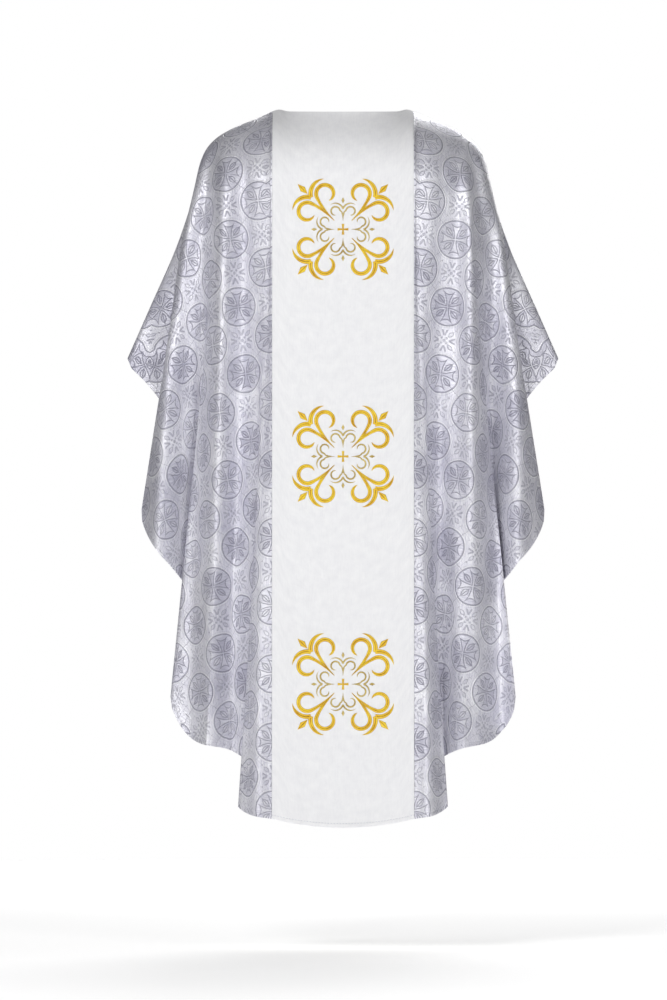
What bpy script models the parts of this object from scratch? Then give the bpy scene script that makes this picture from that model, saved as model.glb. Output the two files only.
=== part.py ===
"""A lined Gothic chasuble, hanging as it does over a wearer's shoulders, seen with its back towards -Y.

Metres, +Z up. The origin is the middle of the neck opening, level with the inner ends of the shoulder seams.
The cloth is laid out along hang lines. Each line leaves the neckline or a shoulder seam, goes over the
shoulder to a knee, and falls straight from there to its foot on the hem. The folds are the crests and
valleys between those lines. Every layer is an offset of that one surface, so the layers stay parallel and
keep their gaps.
"""

import math
from collections import namedtuple

import bmesh
import bpy
import numpy as np

# Neck, shoulders and the outer ends of the shoulder seams
NECK_HALF_WIDTH = 0.124
BACK_NECK_DEPTH = 0.075
BACK_NECK_DIP = 0.004
FRONT_NECK_DEPTH = 0.085
FRONT_NECK_DIP = 0.060
SHOULDER_X = 0.236
SHOULDER_DROP = 0.060
UPPER_ARM_X = 0.272
UPPER_ARM_DROP = 0.180
TIP_X = 0.380
TIP_DROP = 0.436
TIP_EDGE = 0.018
TIP_ROUND = 0.011

# How far the cloth falls, how far it stands off the shoulder seams at the knee and at the hem, and how the
# front differs
DROP = 1.2565
BACK_DEPTH = 0.140
BACK_HEM_DEPTH = 0.206
FRONT_DEPTH = 0.152
FRONT_HEM_DEPTH = 0.216
FRONT_RISE = 0.022
FRONT_TUCK = 0.965
BACK_SHOULDER_PITCH = 0.12
FRONT_SHOULDER_PITCH = 0.45
BAND_KNEE_DROP = 0.118
BAND_SWELL = 0.006
BAND_HEM_RISE = 0.015

# The manner in which lines leave the neck and turn down: directions and shares, not sizes
NECK_SCOOP_POWER = 0.6
BAND_TOP_OUT = 0.6
BAND_TOP_DOWN = 0.8
CURVE_HANDLE = 0.55
TIP_KNEE_IN = 0.2
TIP_KNEE_DOWN = 0.5
TIP_FOOT_IN = 0.4

# Cloths, and the air between neighbouring pieces
SHELL_CLOTH = 0.0010
INTERLINING_CLOTH = 0.0006
LINING_CLOTH = 0.0005
BINDING_CLOTH = 0.0006
LAYER_GAP = 0.0004
SEAM_GAP = 0.0004
EDGE_STRIP = 0.016
LINING_RISE = 0.012

# Embroidery
MOTIF_COUNT = 3
MOTIF_BELOW_KNEE = 0.005
MOTIF_ABOVE_HEM = 0.2495
STITCH_HEIGHT = 0.0009
STITCH_GAP = 0.0006
TRAVEL_HALF_WIDTH = 0.0008
CROSS_ARM = 0.0094
CROSS_HALF_WIDTH = 0.0014
CROSS_END_HALF_WIDTH = 0.0024

# How the cloth is divided: shares of each hang line from the edge strip to the knee, and from the knee to the
# lining's hem
UPPER_ROWS = (0.30, 0.64, 1.0)
LOWER_ROWS = (0.24, 0.49, 0.75, 1.0)
BAND_COLUMNS = 4
COLUMNS_PER_FOLD = 2
TAPE_FOLDS = 5
SHORT_LINE_SHARE = 0.16
LINE_STEPS = 32
SEAM_STEPS = 40
MITRE_LIMIT = 0.5
SHARP_SHARE = 0.15

# A hang line of the side panels. seam is its share of the shoulder seam, from the neck. The knee and the
# foot each have out, a share of the way from the band's edge to the tip; back, a share of the band's own
# depth there; and down, for the knee a share of the band's own fall to its knee and for the foot a share of
# the way from the tip's height to the lowest hem. Below the knee a line runs straight where flare is 1, and a
# larger flare keeps it hanging upright longer before it spreads.
Fold = namedtuple("Fold", "seam knee_out knee_back knee_down foot_out foot_back foot_down flare")

FOLDS = (
    # the middle panel, which rolls over at its edge
    Fold(0.020, 0.024, 1.00, 1.22, 0.165, 0.990, 0.971, 1.6),
    Fold(0.040, 0.041, 0.99, 1.22, 0.230, 0.913, 0.957, 1.6),
    Fold(0.070, 0.102, 0.97, 1.20, 0.047, 0.738, 0.902, 1.6),
    # the lower fold
    Fold(0.110, 0.180, 0.94, 1.18, 0.281, 0.680, 0.839, 1.2),
    Fold(0.158, 0.285, 0.89, 1.16, 0.539, 0.650, 0.817, 1.0),
    Fold(0.212, 0.362, 0.80, 1.06, 0.688, 0.476, 0.748, 1.0),
    Fold(0.256, 0.438, 0.66, 1.18, 0.512, 0.272, 0.531, 1.0),
    # the upper fold
    Fold(0.299, 0.512, 0.61, 1.08, 0.680, 0.359, 0.451, 1.0),
    Fold(0.345, 0.578, 0.53, 0.95, 0.820, 0.388, 0.400, 1.0),
    Fold(0.407, 0.625, 0.37, 0.84, 0.898, 0.262, 0.349, 1.0),
    Fold(0.568, 0.656, 0.16, 0.98, 0.688, 0.087, 0.141, 1.0),
    # the tip piece
    Fold(0.815, 0.863, 0.100, 0.44, 0.883, 0.062, 0.049, 1.0),
)

# A pair of scrolls on a stem. All of it is measured from the motif's middle, along the stem (up) and across
# it (out). Each curl and its bracket turn about the same centre.
Scroll = namedtuple("Scroll", "curl_out curl_up split_up ring_radius end_radius sweep half_width stem_up "
                              "stem_half_width bracket_radius bracket_half_width diamond_from diamond_to "
                              "diamond_half_width curl_steps bracket_steps")

CORNER_SCROLL = Scroll(0.0223, 0.0661, 0.0619, 0.0170, 0.0142, 297, 0.0031, 0.0216, 0.0045,
                       0.0256, 0.0034, 0.0868, 0.1124, 0.0055, 6, 3)
AXIS_SCROLL = Scroll(0.0135, 0.0315, 0.0300, 0.0087, 0.0067, 285, 0.0014, 0.0148, 0.0022,
                     0.0140, 0.0015, 0.0450, 0.0563, 0.0028, 4, 2)
CURL_FLARE_POWER = 9
CURL_START_SHARE = 0.3
CURL_WIDTH_POWER = 0.7
STEM_WAIST_SHARE = 0.45
BRACKET_END_ANGLE = 49
MERGE_DISTANCE = 1e-5

BROCADE = ("silver_brocade", (0.62, 0.62, 0.69), 0.45, 0.15)
BAND_CLOTH = ("white_band", (0.86, 0.86, 0.87), 0.85, 0.0)
INTERLINING = ("interlining", (0.80, 0.79, 0.76), 0.95, 0.0)
LINING = ("satin_lining", (0.82, 0.81, 0.79), 0.50, 0.0)
BINDING = ("binding_tape", (0.84, 0.84, 0.85), 0.80, 0.0)
GOLD_THREAD = ("gold_thread", (0.80, 0.52, 0.08), 0.35, 0.8)


def clear_scene():
    """Empty the file that the script starts in."""
    for item in list(bpy.data.objects):
        bpy.data.objects.remove(item, do_unlink=True)


def lerp(start, end, share):
    return start + (end - start) * share


def unit(vector):
    return vector / np.linalg.norm(vector)


def spline(knots, stations):
    """Smooth curve through knots, spaced by the distances between them. Stations count in knots."""
    knots = [np.asarray(knot, dtype=float) for knot in knots]
    gaps = [max(np.linalg.norm(b - a), 1e-6) for a, b in zip(knots, knots[1:])]
    slopes = [(b - a) / gap for a, b, gap in zip(knots, knots[1:], gaps)]
    tangents = [slopes[0]]
    for before, after, slope_in, slope_out in zip(gaps, gaps[1:], slopes, slopes[1:]):
        tangents.append((slope_in * after + slope_out * before) / (before + after))
    tangents.append(slopes[-1])
    points = []
    for station in stations:
        k = min(int(station), len(gaps) - 1)
        t = station - k
        rise = t * t * (3 - 2 * t)
        lead_in = t * (1 - t) ** 2 * gaps[k]
        lead_out = t * t * (1 - t) * gaps[k]
        points.append(lerp(knots[k], knots[k + 1], rise) + tangents[k] * lead_in - tangents[k + 1] * lead_out)
    return points


def seam_knots():
    """The shoulder seam's shape: down the shoulder, round its end, and out again to the tip."""
    return (
        (NECK_HALF_WIDTH, 0.0, 0.0),
        (SHOULDER_X, 0.0, -SHOULDER_DROP),
        (UPPER_ARM_X, 0.0, -UPPER_ARM_DROP),
        (TIP_X, 0.0, -TIP_DROP),
    )


def seam_curve():
    """The seam as close-set points with their distances along it."""
    knots = seam_knots()
    stations = [k / SEAM_STEPS for k in range((len(knots) - 1) * SEAM_STEPS + 1)]
    points = np.array(spline(knots, stations))
    along = np.concatenate(([0.0], np.cumsum(np.linalg.norm(np.diff(points, axis=0), axis=1))))
    return points, along


SEAM_POINTS, SEAM_ALONG = seam_curve()


def seam_point(share):
    """Point on the right-hand shoulder seam at a share of its length."""
    along = share * SEAM_ALONG[-1]
    return np.array([np.interp(along, SEAM_ALONG, SEAM_POINTS[:, axis]) for axis in range(3)])


def hang_line(top, lead, knee, foot, flare=1.0):
    """Points of one line: a curve from the top to the knee, then down to the foot."""
    shares = np.linspace(0.0, 1.0, LINE_STEPS + 1)[1:, None]
    spread = np.hstack((shares ** flare, shares ** flare, shares))
    fall = lerp(knee, foot, spread)
    handle_out = top + lead * CURVE_HANDLE * abs(knee[1] - top[1])
    handle_in = knee - unit(fall[0] - knee) * CURVE_HANDLE * abs(knee[2] - top[2])
    curve = [top]
    for t in shares[:, 0]:
        curve.append(top * (1 - t) ** 3 + handle_out * 3 * t * (1 - t) ** 2
                     + handle_in * 3 * t * t * (1 - t) + knee * t ** 3)
    return np.vstack((curve, fall))


def row_points(line):
    """Where the rows cross a line: its top, the edge strip, the upper rows, the lower rows and the hem."""
    along = np.concatenate(([0.0], np.cumsum(np.linalg.norm(np.diff(line, axis=0), axis=1))))
    length, knee = along[-1], along[LINE_STEPS]
    strip = min(EDGE_STRIP, SHORT_LINE_SHARE * length)
    turn = min(LINING_RISE, SHORT_LINE_SHARE * length)
    lengths = [0.0, strip] + [lerp(strip, knee, share) for share in UPPER_ROWS]
    lengths += [lerp(knee, length - turn, share) for share in LOWER_ROWS] + [length]
    return [np.array([np.interp(at, along, line[:, axis]) for axis in range(3)]) for at in lengths]


def neck_shape(back):
    """How far the neckline reaches back or forward, how far it dips, and how far the hem is raised."""
    return (BACK_NECK_DEPTH, BACK_NECK_DIP, 0.0) if back else (FRONT_NECK_DEPTH, FRONT_NECK_DIP, FRONT_RISE)


def band_knee_drop(back):
    """Where the band stops curving over the shoulders and falls straight."""
    return BAND_KNEE_DROP + neck_shape(back)[1] / 2


def side_depths(back):
    """Which way a side faces, and how far it stands off at the knee and at the hem."""
    return (-1.0, BACK_DEPTH, BACK_HEM_DEPTH) if back else (1.0, FRONT_DEPTH, FRONT_HEM_DEPTH)


def over_shoulder(back):
    """Direction in which the cloth leaves a shoulder seam."""
    if back:
        return np.array([0.0, -1.0, -BACK_SHOULDER_PITCH])
    return np.array([0.0, 1.0, -FRONT_SHOULDER_PITCH])


def band_line(share, back):
    """A hang line of the middle band, at a share of its half width."""
    sign, knee_depth, hem_depth = side_depths(back)
    neck_depth, dip, rise = neck_shape(back)
    x = NECK_HALF_WIDTH * share
    scoop = (1 - share ** 2) ** NECK_SCOOP_POWER
    swell = BAND_SWELL * (1 - share ** 2)
    top = np.array([x, sign * neck_depth * scoop, -dip * scoop])
    lead = lerp(over_shoulder(back), np.array([0.0, sign * BAND_TOP_OUT, -BAND_TOP_DOWN]), scoop)
    knee = np.array([x, sign * (knee_depth + swell), -band_knee_drop(back)])
    foot = np.array([x, sign * (hem_depth + swell), rise - DROP + BAND_HEM_RISE * share ** 2])
    return hang_line(top, lead, knee, foot)


def fold_line(fold, back):
    """A hang line of a side panel."""
    sign, knee_depth, hem_depth = side_depths(back)
    tuck, rise = 1.0 if back else FRONT_TUCK, neck_shape(back)[2]
    span = (TIP_X - NECK_HALF_WIDTH) * tuck
    top = seam_point(fold.seam)
    foot = np.array([NECK_HALF_WIDTH + span * fold.foot_out, sign * hem_depth * fold.foot_back,
                     rise * fold.foot_down - lerp(TIP_DROP, DROP, fold.foot_down)])
    knee = np.array([NECK_HALF_WIDTH + span * fold.knee_out, sign * knee_depth * fold.knee_back,
                     top[2] - BAND_KNEE_DROP * fold.knee_down])
    return hang_line(top, over_shoulder(back), knee, foot, fold.flare)


def tip_line(back):
    """The short line that closes a side panel at the tip, rounded enough to hold every layer."""
    sign = side_depths(back)[0]
    top = seam_point(1.0)
    knee = top + np.array([-TIP_KNEE_IN * TIP_EDGE, sign * TIP_ROUND, -TIP_KNEE_DOWN * TIP_EDGE])
    foot = top + np.array([-TIP_FOOT_IN * TIP_EDGE, sign * TIP_ROUND, -TIP_EDGE])
    return hang_line(top, over_shoulder(back), knee, foot)


def half_lines(back):
    """Every hang line of the right-hand half, from the middle of the band to the tip."""
    lines = [band_line(k / BAND_COLUMNS, back) for k in range(BAND_COLUMNS + 1)]
    lines += [fold_line(fold, back) for fold in FOLDS]
    return lines + [tip_line(back)]


def surface(back):
    """The cloth's outer surface as rows of points, from the left tip to the right tip."""
    knots = [row_points(line) for line in half_lines(back)]
    band = list(range(BAND_COLUMNS))
    folds = [BAND_COLUMNS + k / COLUMNS_PER_FOLD for k in range((len(FOLDS) + 1) * COLUMNS_PER_FOLD + 1)]
    mirror = np.array([-1.0, 1.0, 1.0])
    rows = []
    for row in range(len(knots[0])):
        right = [knot[row] for knot in knots]
        whole = [point * mirror for point in reversed(right[1:])] + right
        centre = len(right) - 1
        half = spline(whole, [centre + station for station in band + folds])
        half[0][0] = 0.0
        rows.append([point * mirror for point in reversed(half[1:])] + half)
    return np.array(rows)


def facets(rows, columns):
    """Index triples of a grid's triangles, both halves cut along mirrored diagonals."""
    triples = []
    middle = (columns - 1) / 2
    for r in range(rows - 1):
        for c in range(columns - 1):
            a, b, d, e = (r, c), (r, c + 1), (r + 1, c), (r + 1, c + 1)
            triples += [(a, d, e), (a, e, b)] if c < middle else [(a, d, b), (b, d, e)]
    return triples


def offsets(points, back):
    """How a point moves for each metre of depth into the cloth, so that flat facets stay parallel.

    On the shoulder seams it moves square to Y, so that the back's and the front's edges stay face to face.
    """
    rows, columns, _ = points.shape
    touching = {}
    for triple in facets(rows, columns):
        a, b, c = (points[index] for index in triple)
        normal = unit(np.cross(b - a, c - a))
        for index in triple:
            touching.setdefault(index, []).append(normal)
    inward = np.zeros_like(points)
    sign = -1.0 if back else 1.0
    middle = (columns - 1) // 2
    for (r, c), normals in touching.items():
        free = np.array([1.0, 0.0 if r == 0 and abs(c - middle) >= BAND_COLUMNS else 1.0, 1.0])
        normals = np.array(normals) * free
        move = np.linalg.lstsq(normals, np.ones(len(normals)), rcond=SHARP_SHARE)[0]
        move /= max(float((normals @ move).min()), MITRE_LIMIT)
        inward[r, c] = sign * move
    return inward


class Cloth:
    """One side's surface with its offsets: the back, or the front."""

    def __init__(self, back):
        self.back = back
        self.points = surface(back)
        self.inward = offsets(self.points, back)
        self.points[0, :, 1] += self.seam_clearance()
        self.rows, self.columns, _ = self.points.shape
        self.middle = (self.columns - 1) // 2

    def seam_clearance(self):
        """Holds the row on the shoulder seam half a seam gap clear of the other side's."""
        return (-SEAM_GAP if self.back else SEAM_GAP) / 2

    def skin(self, depth, first_row, last_row, first_column, last_column, trim):
        """A piece of the surface at a depth, with its two side edges trimmed back square to themselves."""
        rows = slice(first_row, last_row + 1)
        columns = slice(first_column, last_column + 1)
        points = (self.points + self.inward * depth)[rows, columns].copy()
        for edge, inner in ((0, 1), (-1, -2)):
            across = points[:, inner] - points[:, edge]
            across /= np.linalg.norm(across, axis=1)[:, None]
            along = np.gradient(points[:, edge], axis=0)
            along /= np.linalg.norm(along, axis=1)[:, None]
            slant = np.linalg.norm(np.cross(across, along), axis=1)[:, None]
            points[:, edge] += across * trim[edge] / slant
        return points


def add_material(obj, finish):
    """Give an object its own cloth or thread material."""
    name, colour, roughness, metallic = finish
    material = bpy.data.materials.new(f"{obj.name}_{name}")
    material.use_nodes = True
    shader = material.node_tree.nodes["Principled BSDF"]
    shader.inputs["Base Color"].default_value = (*colour, 1.0)
    shader.inputs["Roughness"].default_value = roughness
    shader.inputs["Metallic"].default_value = metallic
    obj.data.materials.append(material)


def add_object(name, mesh_builder, finish):
    """Turn a finished bmesh into a named object."""
    mesh = bpy.data.meshes.new(name)
    bmesh.ops.recalc_face_normals(mesh_builder, faces=mesh_builder.faces)
    mesh_builder.to_mesh(mesh)
    mesh_builder.free()
    obj = bpy.data.objects.new(name, mesh)
    bpy.context.scene.collection.objects.link(obj)
    add_material(obj, finish)
    return obj


def add_sheet(name, outer, inner, finish, triples):
    """A closed sheet of cloth between two matching skins."""
    work = bmesh.new()
    rows, columns, _ = outer.shape
    skins = [[[work.verts.new(point) for point in row] for row in skin] for skin in (outer, inner)]
    for skin in skins:
        for triple in triples:
            work.faces.new([skin[r][c] for r, c in triple])
    rim = [(0, c) for c in range(columns)]
    rim += [(r, columns - 1) for r in range(1, rows)]
    rim += [(rows - 1, c) for c in range(columns - 2, -1, -1)]
    rim += [(r, 0) for r in range(rows - 2, 0, -1)]
    for (r, c), (s, d) in zip(rim, rim[1:] + rim[:1]):
        work.faces.new([skins[0][r][c], skins[0][s][d], skins[1][s][d], skins[1][r][c]])
    return add_object(name, work, finish)


def cloth_piece(name, cloth, depth, thickness, rows, columns, trim, finish):
    """A sheet cut from one side's surface, between two rows and two columns."""
    outer = cloth.skin(depth, *rows, *columns, trim)
    inner = cloth.skin(depth + thickness, *rows, *columns, trim)
    triples = []
    for triple in facets(cloth.rows, cloth.columns):
        if all(rows[0] <= r <= rows[1] and columns[0] <= c <= columns[1] for r, c in triple):
            triples.append([(r - rows[0], c - columns[0]) for r, c in triple])
    return add_sheet(name, outer, inner, finish, triples)


def layer_depths():
    """Depth of each layer's outer skin below the outside of the shell cloth."""
    interlining = SHELL_CLOTH + LAYER_GAP
    lining = interlining + INTERLINING_CLOTH + LAYER_GAP
    binding = lining + LINING_CLOTH + LAYER_GAP
    return interlining, lining, binding


def make_side(cloth, side):
    """The cloth pieces of the back or the front."""
    interlining, lining, binding = layer_depths()
    last_row, last_column = cloth.rows - 1, cloth.columns - 1
    band = (cloth.middle - BAND_COLUMNS, cloth.middle + BAND_COLUMNS)
    half = SEAM_GAP / 2
    all_rows, lined_rows = (0, last_row), (0, last_row - 1)
    cloth_piece(f"{side}_band", cloth, 0.0, SHELL_CLOTH, all_rows, band, (half, half), BAND_CLOTH)
    cloth_piece(f"{side}_left_panel", cloth, 0.0, SHELL_CLOTH, all_rows, (0, band[0]), (0.0, half), BROCADE)
    cloth_piece(f"{side}_right_panel", cloth, 0.0, SHELL_CLOTH, all_rows, (band[1], last_column),
                (half, 0.0), BROCADE)
    cloth_piece(f"{side}_band_interlining", cloth, interlining, INTERLINING_CLOTH, (1, last_row - 1), band,
                (half, half), INTERLINING)
    cloth_piece(f"{side}_lining", cloth, lining, LINING_CLOTH, lined_rows, (0, last_column), (0.0, 0.0), LINING)
    cloth_piece(f"{side}_neck_binding", cloth, binding, BINDING_CLOTH, (0, 1), band, (half, half), BINDING)


def make_shoulder_tape(back, front, name, right):
    """A stay tape under one shoulder seam, between the shell and the lining, across both sides."""
    interlining, _, _ = layer_depths()
    first = back.middle + BAND_COLUMNS
    last = first + TAPE_FOLDS * COLUMNS_PER_FOLD
    columns = (first, last) if right else (back.columns - 1 - last, back.columns - 1 - first)
    skins = []
    for depth in (interlining, interlining + INTERLINING_CLOTH):
        behind = back.skin(depth, 0, 1, *columns, (SEAM_GAP, SEAM_GAP))
        ahead = front.skin(depth, 0, 1, *columns, (SEAM_GAP, SEAM_GAP))
        ridge = (behind[0] + ahead[0]) / 2
        skins.append(np.array([behind[1], ridge, ahead[1]]))
    return add_sheet(name, skins[0], skins[1], BINDING, facets(3, skins[0].shape[1]))


class Ground:
    """The band's outer surface, on which the embroidery lies, read facet by facet."""

    def __init__(self, cloth):
        self.cloth = cloth
        low, high = cloth.middle - BAND_COLUMNS, cloth.middle + BAND_COLUMNS
        triples = [triple for triple in facets(cloth.rows, cloth.columns)
                   if all(low <= c <= high for _, c in triple)]
        self.corners = np.array([[cloth.points[index] for index in triple] for triple in triples])
        self.inward = np.array([[cloth.inward[index] for index in triple] for triple in triples])
        sides = (self.corners[:, 1:] - self.corners[:, :1])[:, :, [0, 2]]
        self.solvers = np.linalg.inv(sides.transpose(0, 2, 1))

    def place(self, x, z, height):
        """Point at a height above the facet that lies behind x, z."""
        shares = np.einsum("fij,fj->fi", self.solvers, np.array([x, z]) - self.corners[:, 0][:, [0, 2]])
        weights = np.hstack((1 - shares.sum(axis=1, keepdims=True), shares))
        facet = int(weights.min(axis=1).argmax())
        if weights[facet].min() < -1e-6:
            raise ValueError("embroidery beyond the band")
        return weights[facet] @ self.corners[facet] - (weights[facet] @ self.inward[facet]) * height

    def seen_from(self, x):
        """The front is seen from the other side, so left and right change over."""
        return x if self.cloth.back else -x


def curl_spine(scroll):
    """Centre line of one curl, from the split of the stem round to its tip, with its half widths."""
    start = math.atan2(scroll.split_up - scroll.curl_up, -scroll.curl_out) % math.tau
    start_radius = math.hypot(scroll.curl_out, scroll.split_up - scroll.curl_up)
    stations = []
    for step in range(scroll.curl_steps + 1):
        share = step / scroll.curl_steps
        flare = (start_radius - scroll.ring_radius) * (1 - share) ** CURL_FLARE_POWER
        radius = lerp(scroll.ring_radius, scroll.end_radius, share) + flare
        angle = start - math.radians(scroll.sweep) * share
        point = (scroll.curl_out + radius * math.cos(angle), scroll.curl_up + radius * math.sin(angle))
        swelling = math.sin(math.pi * lerp(CURL_START_SHARE, 1.0, share)) ** CURL_WIDTH_POWER
        stations.append((point, scroll.half_width * swelling))
    return stations


def bracket_spine(scroll):
    """Centre line of one bracket arm, from the stem's line out to its tip, with its half widths."""
    start = math.acos(-scroll.curl_out / scroll.bracket_radius)
    end = math.radians(BRACKET_END_ANGLE)
    stations = []
    for step in range(scroll.bracket_steps + 1):
        share = step / scroll.bracket_steps
        angle = lerp(start, end, share)
        point = (scroll.curl_out + scroll.bracket_radius * math.cos(angle),
                 scroll.curl_up + scroll.bracket_radius * math.sin(angle))
        stations.append((point, scroll.bracket_half_width * (1 - share ** 2)))
    return stations


def ribbon(stations, first_pair):
    """Flat quads along a centre line that ends in a point. first_pair is its fixed start."""
    pairs = [first_pair]
    for k in range(1, len(stations) - 1):
        (x, y), half_width = stations[k]
        along = unit(np.array(stations[k + 1][0]) - np.array(stations[k - 1][0]))
        across = np.array([-along[1], along[0]]) * half_width
        pairs.append(((x + across[0], y + across[1]), (x - across[0], y - across[1])))
    faces = [(a[0], b[0], b[1], a[1]) for a, b in zip(pairs, pairs[1:])]
    return faces + [(pairs[-1][0], stations[-1][0], pairs[-1][1])]


def mirrored(faces):
    """The same faces on the other side of the stem."""
    return [[(-x, y) for x, y in reversed(face)] for face in faces]


def scroll_faces(scroll):
    """Flat faces of a stem with two curls, a bracket and a diamond, joined by short travel stitches."""
    travel = TRAVEL_HALF_WIDTH
    split, stem = scroll.split_up, scroll.stem_half_width
    bracket = bracket_spine(scroll)
    corner_low = bracket[0][0][1] - scroll.bracket_half_width
    corner_high = bracket[0][0][1] + scroll.bracket_half_width
    crotch, shoulder = (travel, split), (stem, split)
    curl = ribbon(curl_spine(scroll), (crotch, shoulder))
    arm = ribbon(bracket, ((travel, corner_high), (travel, corner_low)))
    middle_up = (scroll.diamond_from + scroll.diamond_to) / 2
    waist_up = lerp(scroll.stem_up, split, 0.5)
    waist = stem * STEM_WAIST_SHARE
    faces = curl + arm + mirrored(curl) + mirrored(arm)
    faces += [
        [(-travel, scroll.stem_up), (travel, scroll.stem_up), (waist, waist_up), (-waist, waist_up)],
        [(-waist, waist_up), (waist, waist_up), shoulder, crotch, (-travel, split), (-stem, split)],
        [(-travel, split), crotch, (travel, corner_low), (-travel, corner_low)],
        [(-travel, corner_low), (travel, corner_low), (travel, corner_high), (-travel, corner_high)],
        [(-travel, corner_high), (travel, corner_high), (travel, scroll.diamond_from),
         (-travel, scroll.diamond_from)],
        [(-travel, scroll.diamond_from), (travel, scroll.diamond_from), (scroll.diamond_half_width, middle_up),
         (0.0, scroll.diamond_to), (-scroll.diamond_half_width, middle_up)],
    ]
    return faces


def cross_faces():
    """Flat faces of the small cross, up its first arm and along the travel stitch to the stem."""
    waist, end, travel = CROSS_HALF_WIDTH, CROSS_END_HALF_WIDTH, TRAVEL_HALF_WIDTH
    arm = [(-waist, waist), (waist, waist), (end, CROSS_ARM), (travel, CROSS_ARM), (-travel, CROSS_ARM),
           (-end, CROSS_ARM)]
    link = [(-travel, CROSS_ARM), (travel, CROSS_ARM), (travel, AXIS_SCROLL.stem_up),
            (-travel, AXIS_SCROLL.stem_up)]
    return [arm, link]


def turned(faces, degrees):
    """The same faces turned about the motif's middle."""
    cos, sin = math.cos(math.radians(degrees)), math.sin(math.radians(degrees))
    return [[(x * cos - y * sin, x * sin + y * cos) for x, y in face] for face in faces]


def add_embroidery(name, faces, ground, motif_z):
    """Raise flat faces into a closed plate of stitches lying on the band."""
    work = bmesh.new()
    for face in faces:
        work.faces.new([work.verts.new((x, y, 0.0)) for x, y in face])
    bmesh.ops.remove_doubles(work, verts=work.verts, dist=MERGE_DISTANCE)
    places = {vert: (ground.seen_from(vert.co.x), motif_z + vert.co.y) for vert in work.verts}
    for vert, (x, z) in places.items():
        vert.co = ground.place(x, z, STITCH_GAP)
    below = list(work.faces)
    raised = bmesh.ops.extrude_face_region(work, geom=below, use_keep_orig=True)
    tops = [item for item in raised["geom"] if isinstance(item, bmesh.types.BMVert)]
    floor = {vert: tuple(round(value, 7) for value in vert.co) for vert in places}
    lookup = {key: places[vert] for vert, key in floor.items()}
    for vert in tops:
        x, z = lookup[tuple(round(value, 7) for value in vert.co)]
        vert.co = ground.place(x, z, STITCH_GAP + STITCH_HEIGHT)
    bmesh.ops.triangulate(work, faces=work.faces)
    return add_object(name, work, GOLD_THREAD)


def motif_faces():
    """Flat faces of one motif: its four corner scrolls, and its cross with four small scrolls."""
    waist = CROSS_HALF_WIDTH
    scrolls = [turned(scroll_faces(CORNER_SCROLL), 90 * quarter - 45) for quarter in range(4)]
    centre = [[(-waist, -waist), (waist, -waist), (waist, waist), (-waist, waist)]]
    for quarter in range(4):
        centre += turned(cross_faces() + scroll_faces(AXIS_SCROLL), 90 * quarter)
    return scrolls, centre


def motif_heights(scrolls, back):
    """Heights of the motifs' middles: the first just under the knee, the last a set height over the hem."""
    reach = max(abs(y) for faces in scrolls for face in faces for _, y in face)
    first = band_knee_drop(back) + MOTIF_BELOW_KNEE + reach
    last = DROP - neck_shape(back)[2] - MOTIF_ABOVE_HEM
    return -np.linspace(first, last, MOTIF_COUNT)


def make_motifs(ground, side):
    """The embroidery of one side, each island of stitches a piece of its own."""
    scrolls, centre = motif_faces()
    corners = ("upper_right", "upper_left", "lower_left", "lower_right")
    for number, height in enumerate(motif_heights(scrolls, ground.cloth.back), start=1):
        for corner, faces in zip(corners, scrolls):
            add_embroidery(f"{side}_scroll_{number}_{corner}", faces, ground, height)
        add_embroidery(f"{side}_cross_{number}", centre, ground, height)


def main():
    """Build the whole vestment."""
    clear_scene()
    back, front = Cloth(True), Cloth(False)
    for cloth, side in ((back, "back"), (front, "front")):
        make_side(cloth, side)
        make_motifs(Ground(cloth), side)
    make_shoulder_tape(back, front, "left_shoulder_tape", False)
    make_shoulder_tape(back, front, "right_shoulder_tape", True)


main()
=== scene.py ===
"""A lined Gothic chasuble in silver brocade with a plain white middle band and gold embroidery.

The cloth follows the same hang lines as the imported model, divided finer, with the soft ripples, the turned
hem, the stitches and the padded embroidery that the model leaves out.
"""

import logging
import math
from collections.abc import Callable
from dataclasses import dataclass, field
from enum import Enum
from functools import partial

import bmesh
import bpy
import numpy as np
from mathutils import Matrix, Vector


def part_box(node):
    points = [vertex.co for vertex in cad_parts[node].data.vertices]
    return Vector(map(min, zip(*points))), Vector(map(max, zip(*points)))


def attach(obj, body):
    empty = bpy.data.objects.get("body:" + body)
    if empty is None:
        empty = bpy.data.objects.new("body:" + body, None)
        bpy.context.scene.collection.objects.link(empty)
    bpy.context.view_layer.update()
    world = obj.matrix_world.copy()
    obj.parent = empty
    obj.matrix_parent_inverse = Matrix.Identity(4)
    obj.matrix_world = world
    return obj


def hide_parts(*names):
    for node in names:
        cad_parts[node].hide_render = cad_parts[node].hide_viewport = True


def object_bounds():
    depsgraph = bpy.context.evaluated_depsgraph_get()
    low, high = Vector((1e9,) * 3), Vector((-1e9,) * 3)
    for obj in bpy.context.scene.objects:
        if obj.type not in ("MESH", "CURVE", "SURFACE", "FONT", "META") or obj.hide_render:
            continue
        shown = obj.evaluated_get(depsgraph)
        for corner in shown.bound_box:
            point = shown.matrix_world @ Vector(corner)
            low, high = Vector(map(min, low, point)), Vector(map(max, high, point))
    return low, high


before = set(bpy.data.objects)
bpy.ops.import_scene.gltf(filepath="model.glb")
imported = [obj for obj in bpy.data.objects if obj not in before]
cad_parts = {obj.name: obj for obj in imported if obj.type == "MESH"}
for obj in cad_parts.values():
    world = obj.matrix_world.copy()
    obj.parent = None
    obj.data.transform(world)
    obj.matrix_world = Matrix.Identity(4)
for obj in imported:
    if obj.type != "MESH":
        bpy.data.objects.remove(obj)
CAD_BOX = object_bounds()
ROOT = "root"
MM = 0.001
TINY = 1e-9
HALF_ROOT = 0.7071
WHITE = (1.0, 1.0, 1.0, 1.0)
TO_MM = (1000.0, 1000.0, 1000.0)

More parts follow.
